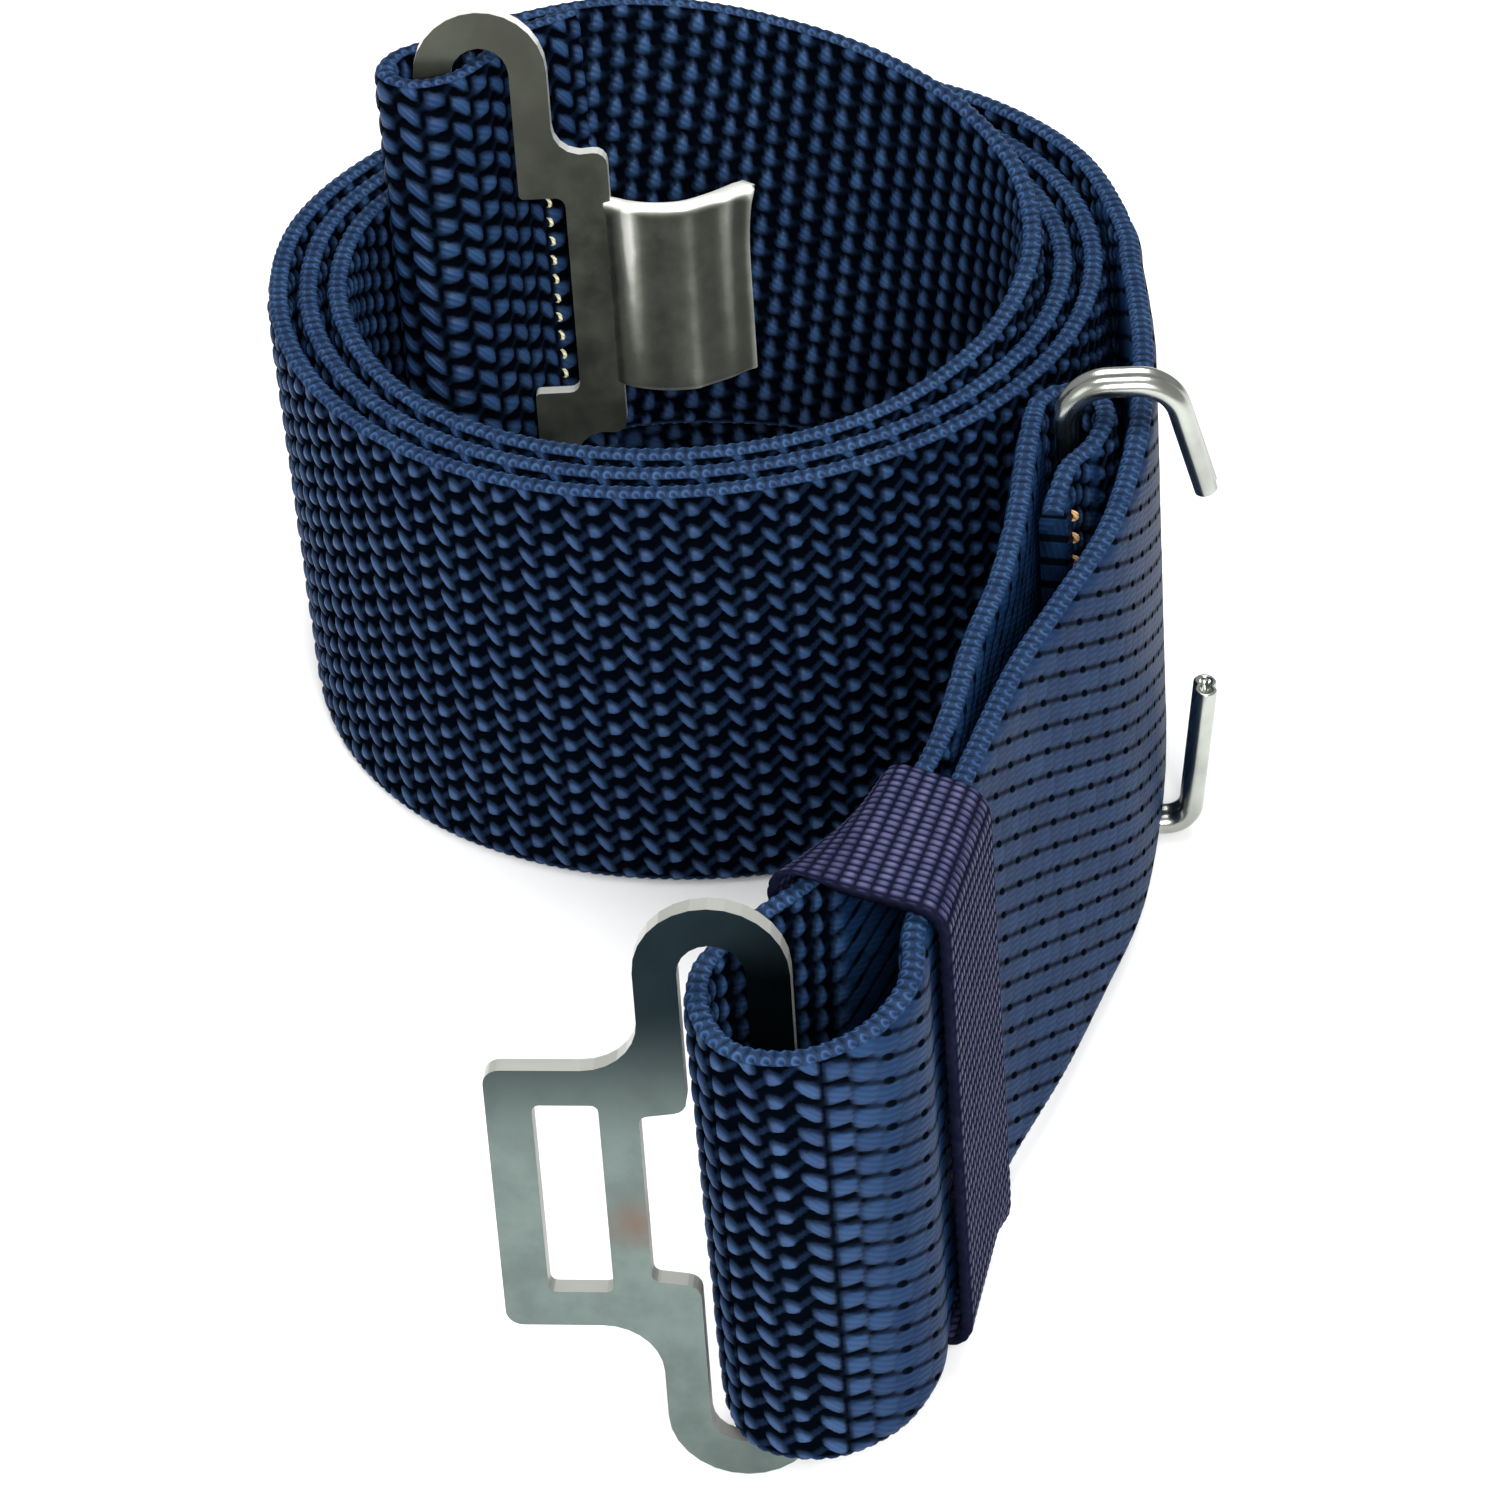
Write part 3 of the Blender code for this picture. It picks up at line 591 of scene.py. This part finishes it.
def pit_shade(shader, along, across):
    """Painted shade: 1 inside the small pits between the floats, part way along the seams that join them.
    """
    column = shader.cell(shader.calc("MULTIPLY", along, 0.5), 100.5)
    column = shader.calc("MULTIPLY", column, 2.0 * PICK / PIT_HALF_LENGTH)
    twill = shader.calc("SUBTRACT", across, shader.calc("MULTIPLY", along, 0.5))
    twill = shader.cell(twill, 1000.0)
    thin = shader.calc("MULTIPLY", twill, GRAIN_PITCH / PIT_HALF_HEIGHT)
    pit = shader.step(shader.apart(column, thin), 1.35, 0.45)
    seam = shader.step(shader.calc("ABSOLUTE", twill), SEAM_EDGE, SEAM_CORE, SEAM_DEPTH)
    return shader.calc("MAXIMUM", pit, seam)


def edge_ring_shade(shader, along, across):
    """Painted shade in the centres and outlines of the small rings along the woven edge, two to a pick."""
    ring, level = (
        shader.calc("MULTIPLY", shader.cell(shader.calc("MULTIPLY", value, 2.0)), RING_SCALE)
        for value in (along, across)
    )
    return shader.ramp(shader.apart(ring, level), [
        (0.05, grey(0.5)), (0.30, grey(0.0)), (0.75, grey(0.0)), (1.0, grey(0.55)),
    ], "LINEAR")


def webbing_material(name, deep, middle, light, dent_shading=True):
    """Woven polypropylene: painted shade between the yarns, filament streaks and a soft shine on them.

    The dent shading is painted shade in the pits and seams of the flat cloth and in the rings of the woven
    edge; these also dent the bump.
    """
    shader = Shader(name, 0.46)
    height, yarn, tone = (shader.field(k) for k in ("height", "yarn", "tone"))
    # Painted shade: the colour follows the relief's height, darkest between the yarns, lightest on their
    # tops
    colour = shader.ramp(height, [(0.24, deep), (0.58, middle), (0.97, light)])
    streak = shader.calc("SINE", shader.calc("MULTIPLY", yarn, YARN_STRANDS))
    streak = shader.calc("ADD", shader.calc("MULTIPLY", streak, 0.5), 0.5)
    lines = shader.ramp(streak, [(0.0, (0.50, 0.53, 0.58)), (1.0, grey(1.0))])
    colour = shader.mix(0.4, colour, lines, "MULTIPLY")
    vary = shader.ramp(tone, [(0.0, (0.70, 0.72, 0.78)), (1.0, (1.14, 1.1, 1.06))], "LINEAR")
    colour = shader.mix(0.8, colour, vary, "MULTIPLY")
    cloud = shader.ramp(shader.noise(90.0), [(0.35, (0.84, 0.86, 0.92)), (0.65, (1.05, 1.03, 1.0))])
    colour = shader.mix(0.7, colour, cloud, "MULTIPLY")
    shine = shader.ramp(height, [(0.45, grey(0.0)), (0.9, grey(0.13))])
    relief = streak
    if dent_shading:
        along, across, flat, edge = (shader.field(k) for k in ("along", "across", "flat", "edge"))
        dent_shade = shader.calc("MULTIPLY", pit_shade(shader, along, across), flat)
        rings = shader.calc("MULTIPLY", edge_ring_shade(shader, along, across), edge)
        dent_shade = shader.calc("MAXIMUM", dent_shade, rings)
        # Painted shade: flat floats are darkened, as they catch less light than the tops of separate
        # grains
        colour = shader.mix(flat, colour, (0.34, 0.44, 0.50), "MULTIPLY")
        shine = shader.mix(flat, shine, grey(0.015))
        # Painted shade: the pits, seams and edge rings take the colour between the yarns
        colour = shader.mix(dent_shade, colour, deep)
        shine = shader.mix(dent_shade, shine, grey(0.0))
        relief = shader.calc("SUBTRACT", streak, shader.calc("MULTIPLY", dent_shade, 2.5))
    shader.link(colour, shader.surface.inputs["Base Color"])
    shader.link(shine, shader.surface.inputs["Specular IOR Level"])
    shader.bump(relief, 0.40, 0.00012)
    return shader.material


def metal_shader(name, base, roughness, face=None, edge=None, darker_high_up=None, rust=None):
    """Plated steel: cloudy satin and faint brushing, a painted highlight on the cut edges behind a painted
    dark crease, darker high up, a rust spot.
    """
    shader = Shader(name, roughness, 1.0)
    coordinate = shader.node("ShaderNodeTexCoord").outputs["Object"]
    stretch = shader.node("ShaderNodeMapping")
    stretch.inputs["Scale"].default_value = (260.0, 260.0, 3800.0)
    shader.link(coordinate, stretch.inputs["Vector"])
    brush = shader.noise(1.0, 4.0, 0.6, stretch.outputs["Vector"])
    cloud = shader.noise(140.0, 4.0, 0.62, coordinate)
    colour = shader.ramp(cloud, [(0.32, tuple(0.72 * c for c in base)), (0.68, base)])
    # Darker high up: the colour is multiplied by a shade above a height
    if darker_high_up:
        low, high, shade = darker_high_up
        parts = shader.node("ShaderNodeSeparateXYZ")
        shader.link(coordinate, parts.inputs[0])
        height = shader.calc("ADD", parts.outputs["Z"], shader.calc("MULTIPLY", cloud, 0.004))
        colour = shader.mix(shader.step(height, low, high), colour, shade, "MULTIPLY")
    if face:
        facing = shader.node("ShaderNodeVectorMath", operation="DOT_PRODUCT")
        shader.link(shader.node("ShaderNodeTexCoord").outputs["Normal"], facing.inputs[0])
        facing.inputs[1].default_value = face
        level = shader.calc("ABSOLUTE", facing.outputs["Value"])
        # Where the rounded edge turns away from the face: painted shade as a thin dark crease first, then
        # a painted highlight as the bright, less metallic rim
        crease_shade = shader.ramp(level, [
            (0.40, grey(0.0)), (0.60, grey(0.85)), (0.90, grey(0.85)), (0.985, grey(0.0)),
        ])
        colour = shader.mix(crease_shade, colour, (0.02, 0.022, 0.022))
        rim = shader.ramp(level, [(0.25, grey(1.0)), (0.50, grey(0.0))])
        colour = shader.mix(rim, colour, edge)
        shader.link(shader.calc("SUBTRACT", 1.0, shader.calc("MULTIPLY", rim, 0.4)),
                    shader.surface.inputs["Metallic"])
    if rust:
        away = shader.node("ShaderNodeVectorMath", operation="DISTANCE")
        shader.link(coordinate, away.inputs[0])
        away.inputs[1].default_value = rust
        ragged = shader.calc("ADD", away.outputs["Value"], shader.calc("MULTIPLY", cloud, 0.0005))
        spot = shader.ramp(ragged, [(0.0011, grey(0.75)), (0.0014, grey(0.0))], "LINEAR")
        colour = shader.mix(spot, colour, (0.15, 0.08, 0.055))
    shader.link(colour, shader.surface.inputs["Base Color"])
    rough = shader.node("ShaderNodeMapRange")
    rough.inputs["To Min"].default_value = roughness * 0.75
    rough.inputs["To Max"].default_value = roughness * 1.35
    shader.link(cloud, rough.inputs["Value"])
    shader.link(rough.outputs["Result"], shader.surface.inputs["Roughness"])
    shader.bump(brush, 0.10, 0.00004)
    return shader


def tongue_material():
    """The tongue's plating: painted highlights on its ridges and hems, painted shade in its valleys."""
    shader = metal_shader("tongue_plate", grey(0.5), 0.30)
    cloud = shader.surface.inputs["Base Color"].links[0].from_socket
    painted_light = shader.calc("ADD", shader.field("painted_light"), shader.calc("MULTIPLY", shader.noise(420.0), 0.25))
    colour = shader.ramp(painted_light, [(0.12, (0.035, 0.038, 0.034)), (0.42, (0.13, 0.14, 0.115)),
                               (0.72, (0.36, 0.38, 0.33)), (1.0, (0.95, 0.95, 0.88))], "LINEAR")
    colour = shader.mix(0.5, colour, cloud, "OVERLAY")
    shader.link(colour, shader.surface.inputs["Base Color"])
    shader.surface.inputs["Metallic"].default_value = 0.45
    return shader.material


def thread_material(name, light, dark):
    """Twisted sewing thread: ply lines and slight colour change."""
    shader = Shader(name, 0.6)
    coordinate = shader.node("ShaderNodeTexCoord").outputs["Object"]
    wave = shader.node("ShaderNodeTexWave", bands_direction="DIAGONAL")
    wave.inputs["Scale"].default_value = 900.0
    wave.inputs["Distortion"].default_value = 0.6
    shader.link(coordinate, wave.inputs["Vector"])
    colour = shader.ramp(wave.outputs["Fac"], [(0.1, dark), (0.7, light)])
    shader.link(colour, shader.surface.inputs["Base Color"])
    shader.surface.inputs["Sheen Weight"].default_value = 0.2
    shader.bump(wave.outputs["Fac"], 0.5, 0.00008)
    return shader.material


def paint(piece, made):
    """The piece's only material."""
    piece.data.materials.clear()
    piece.data.materials.append(made)


def strap(band):
    """The webbing, ready in its place."""
    places, fields = strap_surface(band)
    tube = places.shape[:2]
    piece = mesh_object("woven_webbing", places.reshape(-1, 3), ring_faces(*tube), end_caps(*tube), fields)
    paint(piece, webbing_material("navy_weave", *NAVY))
    return piece


def keeper_end(near, far):
    """One end of the keeper: even points round its rounded oblong, from its plan corners."""
    near, far = np.array(near), np.array(far)
    reach = np.linalg.norm(far - near)
    corners = [(0.0, KEEPER_LOW), (reach, KEEPER_LOW), (reach, KEEPER_HIGH), (0.0, KEEPER_HIGH)]
    line = []
    for k, corner in enumerate(corners):
        before, after = np.array(corners[k - 1]), np.array(corners[(k + 1) % 4])
        corner = np.array(corner)
        a = corner + (before - corner) / np.linalg.norm(before - corner) * KEEPER_CORNER
        b = corner + (after - corner) / np.linalg.norm(after - corner) * KEEPER_CORNER
        for t in np.linspace(0, 1, 9):
            line.append((1 - t) ** 2 * a + 2 * t * (1 - t) * corner + t * t * b)
    closed = np.array(line + line[:1])
    lengths = np.concatenate([[0.0], np.cumsum(np.linalg.norm(np.diff(closed, axis=0), axis=1))])
    at = np.linspace(0.0, lengths[-1], KEEPER_ROUND_STEPS + 1)[:-1]
    flat = np.stack([np.interp(at, lengths, closed[:, k]) for k in range(2)], 1)
    across = (far - near) / reach
    plan = [near[k] + across[k] * flat[:, 0] for k in range(2)]
    return np.stack([*plan, flat[:, 1]], 1)


def keeper():
    """The keeper: a plain-woven band in a ring round both layers of the tail."""
    coil, fold = keeper_end(*KEEPER_COIL_END), keeper_end(*KEEPER_FOLD_END)
    rounds = len(coil)
    run = np.linalg.norm(np.mean(coil - fold, axis=0))
    t = np.linspace(0.0, 1.0, KEEPER_COLUMNS)
    surface = coil[:, None, :] * (1 - t)[None, :, None] + fold[:, None, :] * t[None, :, None]
    along = unit(np.roll(coil, -1, axis=0) - np.roll(coil, 1, axis=0))
    side = unit(fold - coil)
    normal = unit(np.cross(side, along))
    middle = surface.mean(axis=(0, 1))
    if np.sum(normal * (coil - middle)) < 0:
        normal = -normal
    # Plain weave: small floats, alternately warp and weft, in a checker
    total = 2 * (np.linalg.norm(coil[0] - coil[rounds // 2]))
    s = (np.arange(rounds) / rounds * round(total / KEEPER_PITCH_ROUND / 2) * 2)[:, None]
    w = (t * run / KEEPER_PITCH_SIDE)[None, :]
    checker = np.sin(np.pi * s) * np.sin(np.pi * w)
    height = np.abs(checker) ** 0.6
    rim = np.minimum(np.minimum(t, 1 - t) * run / 0.7, 1.0)[None, :]
    relief = KEEPER_RELIEF * height - KEEPER_RELIEF
    outer = surface + normal[:, None, :] * relief[:, :, None]
    outer -= normal[:, None, :] * (0.35 * (1 - np.sqrt(rim)))[:, :, None]
    inner = surface - normal[:, None, :] * (KEEPER_THICKNESS - 0.2 * height)[:, :, None]
    loop = np.concatenate([outer, inner[:, ::-1, :]], 1)
    # Painted shade: its upright sides are a little darker than its top, and it darkens towards its ends
    # and between its yarns
    lit = height * np.sqrt(rim) * (1.0 - 0.22 * np.abs(along[:, 2:3]))
    fields = {
        "height": np.concatenate([lit, lit[:, ::-1]], 1),
        "yarn": np.concatenate([np.broadcast_to(np.where(checker > 0, s, w), height.shape)] * 2, 1),
        "tone": np.concatenate([hash01(np.floor(s), np.floor(w), 5.0)] * 2, 1),
    }
    quads = ring_faces(rounds, loop.shape[1], closed=True)
    piece = mesh_object("woven_keeper", loop.reshape(-1, 3), quads, (), fields)
    paint(piece, webbing_material("keeper_weave", *KEEPER_BLUE, dent_shading=False))
    return piece


def stitches(name, band, index, low, high, pitch, made, radius=0.30):
    """One row of separate stitches across the webbing, each dipping into the cloth at its ends."""
    tube = (STITCH_STEPS, STITCH_SIDES)
    verts, quads, caps = [], [], []
    for number, start in enumerate(np.arange(low, high, pitch)):
        stop = start + pitch * STITCH_SHARE
        aside = (hash01(number, index, 2.0) - 0.5) * 0.5 * 0.3
        quads.append(ring_faces(*tube) + len(verts))
        caps += [[len(verts) + k for k in cap] for cap in end_caps(*tube)]
        for t in np.arange(STITCH_STEPS) / (STITCH_STEPS - 1):
            rise = STRAP_THICKNESS / 2 + STITCH_RISE - STITCH_DIP * (2 * t - 1) ** 4
            point = band.point(index, start + (stop - start) * t, rise)
            point = point + band.tangent[index] * aside
            size = radius * (1.0 - 0.25 * (2 * t - 1) ** 4)
            for a in range(STITCH_SIDES):
                angle = math.tau * a / STITCH_SIDES
                verts.append(point + band.tangent[index] * size * math.cos(angle)
                             + band.out[index] * size * math.sin(angle))
    piece = mesh_object(name, np.array(verts), np.concatenate(quads), caps)
    paint(piece, made)
    return piece


def soften(node, width):
    """Rounds over the stamped edges of a CAD plate."""
    bevel = node.modifiers.new("soft_edges", "BEVEL")
    bevel.width = width * MM
    bevel.segments = 3
    bevel.limit_method = "ANGLE"
    bevel.angle_limit = math.radians(40)
    bevel.use_clamp_overlap = True
    normals = node.modifiers.new("face_normals", "WEIGHTED_NORMAL")
    normals.keep_sharp = False
    node.data.shade_smooth()


def nearest(band, x, y, low, high):
    """The station nearest a plan point between two fractions of the band's length."""
    first, last = int(len(band.at) * low), int(len(band.at) * high)
    gap = np.hypot(band.centre[first:last, 0] - x, band.centre[first:last, 1] - y)
    return first + int(np.argmin(gap))


def rounded_path(corners, steps=16):
    """An open path in (u, v) from (u, v, radius) corners, with each inner corner an arc."""
    path = []
    for i, (u, v, radius) in enumerate(corners):
        here = Vector((u, v))
        if radius <= 0.0:
            path.append(here)
            continue
        before = (Vector(corners[i - 1][:2]) - here).normalized()
        after = (Vector(corners[i + 1][:2]) - here).normalized()
        half = before.angle(after) / 2
        reach = radius / math.tan(half)
        middle = here + (before + after).normalized() * (radius / math.sin(half))
        first = here + before * reach - middle
        turn = first.angle_signed(here + after * reach - middle)
        for k in range(steps + 1):
            spoke = first.copy()
            spoke.rotate(Matrix.Rotation(-turn * k / steps, 2))
            path.append(middle + spoke)
    return path


def adjuster_strip():
    """The adjuster hook as rolled: two round beads side by side, hollow at its cut ends."""
    across = np.array(ADJUSTER_OUTER) - np.array(ADJUSTER_BAR)
    reach = float(np.linalg.norm(across))
    across = across / reach
    path = rounded_path([
        (reach - ADJUSTER_LOW_END_IN, ADJUSTER_END_LOW, 0.0),
        (ADJUSTER_LOW_SHOULDER, ADJUSTER_LOW, ADJUSTER_BEND * 0.6),
        (0.0, ADJUSTER_LOW, ADJUSTER_BEND),
        (0.0, ADJUSTER_HIGH, ADJUSTER_BEND),
        (ADJUSTER_SHOULDER, ADJUSTER_HIGH, ADJUSTER_BEND),
        (reach, ADJUSTER_END_HIGH, 0.0),
    ])
    sides = 40
    angle = np.arange(sides) * math.tau / sides
    broad = ADJUSTER_STRIP_WIDTH / 2 * np.sign(np.cos(angle)) * np.abs(np.cos(angle)) ** 0.85
    waist = 1.0 - 0.34 * swell(broad, 0.42)
    deep = ADJUSTER_STRIP_THICKNESS / 2 * np.sin(angle) * waist
    along = np.array((-across[1], across[0], 0.0))
    places = [np.array((across[0] * u, across[1] * u, v)) for u, v in path]
    rings = []

    def ring(i, size, push):
        ahead, behind = places[min(i + 1, len(places) - 1)], places[max(i - 1, 0)]
        tangent = (ahead - behind) / np.linalg.norm(ahead - behind)
        out = np.cross(along, tangent)
        centre = places[i] + tangent * push
        lobe = np.sign(broad) * ADJUSTER_STRIP_WIDTH * 0.24 * (1.0 - size)
        rings.append(centre + along * (broad * size + lobe)[:, None] + out * (deep * size)[:, None])

    last = len(places) - 1
    for size, push in ((0.35, 0.9), (0.55, 0.25), (0.62, 0.0), (0.9, 0.0), (1.0, 0.12)):
        ring(0, size, push)
    for i in range(1, last):
        ring(i, 1.0, 0.0)
    for size, push in ((1.0, -0.12), (0.9, 0.0), (0.62, 0.0), (0.55, -0.25), (0.35, -0.9)):
        ring(last, size, push)
    verts = np.concatenate(rings) + np.array((*ADJUSTER_BAR, 0.0))
    return mesh_object("adjuster_strip", verts, ring_faces(len(rings), sides), end_caps(len(rings), sides))


def tongue_sheet():
    """The tongue's pressed skin: thick rolled hems at its top and tip, and a flared corner."""
    line = np.array(smooth(TONGUE_LINE, per_span=TONGUE_STEPS))[TONGUE_SKIN_FROM:]
    line = np.vstack([line, line[-1] + unit(line[-1:] - line[-2:-1])[0] * TONGUE_PAST])
    reach = np.linspace(0.0, 1.0, len(line))
    tangent = unit(np.gradient(line, axis=0))
    normal = np.stack([tangent[:, 1], -tangent[:, 0]], 1)
    tall = TONGUE_HALF_HEIGHT + TONGUE_PAST
    t, v = np.meshgrid(reach, np.linspace(-1.0, 1.0, TONGUE_ROWS), indexing="ij")
    u = np.broadcast_to(line[:, 0:1], t.shape)
    run = np.linalg.norm(np.diff(line, axis=0), axis=1).sum()
    from_tip = (1.0 - t) * run
    from_top = (1.0 - v) * tall
    from_low = (1.0 + v) * tall
    hem = swell(from_tip, 0.8) * 0.9 + swell(from_top, 1.0) * 0.9
    ridge = swell(u, 0.85, TONGUE_RIDGE) * np.clip(0.62 + 0.62 * v, 0.08, 1.0)
    fold = swell(u, 0.65, TONGUE_FOLD) * np.clip(0.65 + 0.4 * v, 0.2, 1.0)
    rib = swell(u, 0.6, TONGUE_RIB)
    raised = 0.55 * ridge + 0.35 * fold + 0.15 * rib
    flare = TONGUE_FLARE * np.clip(t, 0, 1) ** 4 * np.clip(v, 0.0, 1.0) ** 3
    thick = 0.86 + 0.34 * np.clip(hem, 0.0, 1.0)
    edge = np.minimum(np.minimum(from_tip, from_top), from_low)
    thick = thick * np.sqrt(np.clip(edge / 0.5, 0.02, 1.0))
    sheet = []
    for side in (1.0, -1.0):
        offset = side * thick + (raised + flare if side > 0 else 0.0)
        across = line[:, 0:1] + normal[:, 0:1] * offset
        depth = line[:, 1:2] + normal[:, 1:2] * offset
        sheet.append(np.stack([across + HOOK_PRONG_REACH, depth, v * tall], -1))
    loop = np.concatenate([sheet[0], sheet[1][:, ::-1]], 1)
    stations, around = loop.shape[:2]
    plate_turn = Matrix.Rotation(HOOK_TURN, 3, "Z") @ Matrix.Rotation(HOOK_LEAN, 3, "X")
    verts = loop.reshape(-1, 3) @ np.array(plate_turn).T + np.array(HOOK_PRONG)
    # Painted highlight and shade: bright on the ridge, the fold, the rib and the hems, darker in the two
    # valleys beside the ridge
    painted_light = 0.16 + 0.85 * ridge + 0.50 * fold + 0.22 * rib
    painted_light = painted_light - 0.20 * swell(u, 0.5, 5.0) - 0.08 * swell(u, 1.4, 9.8)
    painted_light = np.maximum(painted_light, np.clip(hem * 1.15, 0.0, 0.95))
    painted_light = np.concatenate([painted_light, painted_light[:, ::-1]], 1)
    # Its rings run the other way round, so every face is turned over
    quads = ring_faces(stations, around)[:, ::-1]
    caps = [cap[::-1] for cap in end_caps(stations, around)]
    return mesh_object("tongue_skin", verts, quads, caps, {"painted_light": painted_light})


def area_light(name, place, size, power):
    """A soft light that faces the belt."""
    data = bpy.data.lights.new(name, "AREA")
    data.shape = "RECTANGLE"
    data.size, data.size_y = size
    data.energy = power
    lamp = bpy.data.objects.new(name, data)
    lamp.location = place
    lamp.rotation_euler = (Vector(LIGHT_AIM) - Vector(place)).to_track_quat("-Z", "Y").to_euler()
    bpy.context.scene.collection.objects.link(lamp)


def studio():
    """Pale floor, soft lights and the camera."""
    floor_mesh = bpy.data.meshes.new("floor")
    half = FLOOR_HALF
    corners = [(-half, -half, 0), (half, -half, 0), (half, half, 0), (-half, half, 0)]
    floor_mesh.from_pydata(corners, [], [(0, 1, 2, 3)])
    floor = bpy.data.objects.new("floor", floor_mesh)
    floor.location.z = -FLOOR_DROP
    bpy.context.scene.collection.objects.link(floor)
    shader = Shader("pale_floor", 0.9)
    grain = shader.ramp(shader.noise(14.0), [(0.3, grey(0.90)), (0.7, grey(0.93))])
    shader.link(grain, shader.surface.inputs["Base Color"])
    paint(floor, shader.material)
    world = bpy.data.worlds.new("studio")
    world.use_nodes = True
    background = world.node_tree.nodes["Background"]
    background.inputs["Color"].default_value = (1.0, 1.0, 1.0, 1.0)
    background.inputs["Strength"].default_value = WORLD_STRENGTH
    bpy.context.scene.world = world
    for light in LIGHTS:
        area_light(*light)
    camera_data = bpy.data.cameras.new("camera")
    camera_data.sensor_width = 36.0
    camera_data.lens = CAMERA_LENS
    camera_data.clip_start = 0.01
    camera = bpy.data.objects.new("camera", camera_data)
    bpy.context.scene.collection.objects.link(camera)
    elevation, roll = CAMERA_ELEVATION, CAMERA_ROLL
    forward = Vector((0.0, math.cos(elevation), -math.sin(elevation)))
    right = Vector((1.0, 0.0, 0.0))
    up = Vector((0.0, math.sin(elevation), math.cos(elevation)))
    image_right = right * math.cos(roll) - up * math.sin(roll)
    image_up = right * math.sin(roll) + up * math.cos(roll)
    place = Vector(CAMERA_TARGET) - forward * CAMERA_DISTANCE
    camera.matrix_world = Matrix(
        (
            (image_right.x, image_up.x, -forward.x, place.x),
            (image_right.y, image_up.y, -forward.y, place.y),
            (image_right.z, image_up.z, -forward.z, place.z),
            (0.0, 0.0, 0.0, 1.0),
        )
    )
    bpy.context.scene.camera = camera
    bpy.context.scene.view_settings.view_transform = "Standard"


rows, at = resampled(smooth(strap_controls()), STATION)
band = Band(rows, at, STRAP_WIDTH)
webbing = strap(band)
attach(webbing, "belt")
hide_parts("webbing_strap")

ring = keeper()
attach(ring, "keeper")
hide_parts("keeper_loop")

pale = thread_material("pale_thread_look", (0.80, 0.77, 0.52), (0.50, 0.46, 0.26))
tan = thread_material("tan_thread_look", (0.60, 0.33, 0.12), (0.30, 0.15, 0.05))
hook_row = stitches("hook_end_stitches", band, nearest(band, -17.2, 19.0, 0.0, 0.05),
                    -21.5, 21.5, 2.2, pale, radius=0.22)
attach(hook_row, "belt")
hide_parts("hook_end_stitching")
adjuster_row = stitches("adjuster_end_stitches", band, nearest(band, 31.8, -48.5, 0.97, 1.0),
                        -21.5, 22.5, 2.7, tan)
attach(adjuster_row, "belt")
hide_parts("adjuster_end_stitching")

# Plates: body colour, colour of the painted highlight on the cut edges, roughness, turn about z, lean, and
# the darkening high up (from z, to z, shade)
for node_name, base, edge, roughness, turn, lean, darker_high_up in (
    ("frame_buckle", (0.150, 0.190, 0.178), (0.40, 0.41, 0.38), 0.34, FRAME_TURN, FRAME_LEAN,
     (0.037, 0.056, (0.07, 0.10, 0.13))),
    ("hook_buckle", (0.19, 0.20, 0.165), (0.92, 0.93, 0.88), 0.36, HOOK_TURN, HOOK_LEAN,
     (0.050, 0.066, (0.5, 0.5, 0.48))),
):
    soften(NODES[node_name], PLATE_SOFTENING)
    face = (-math.sin(turn) * math.cos(lean), math.cos(turn) * math.cos(lean), math.sin(lean))
    plate = metal_shader(node_name + "_plate", base, roughness, face, edge, darker_high_up,
                         RUST.get(node_name))
    paint(NODES[node_name], plate.material)

tongue = tongue_sheet()
paint(tongue, tongue_material())
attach(tongue, "hook_buckle_body")

strip = adjuster_strip()
paint(strip, metal_shader("adjuster_plate", (0.43, 0.45, 0.41), 0.22).material)
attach(strip, "adjuster")
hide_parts("adjuster_hook")

studio()
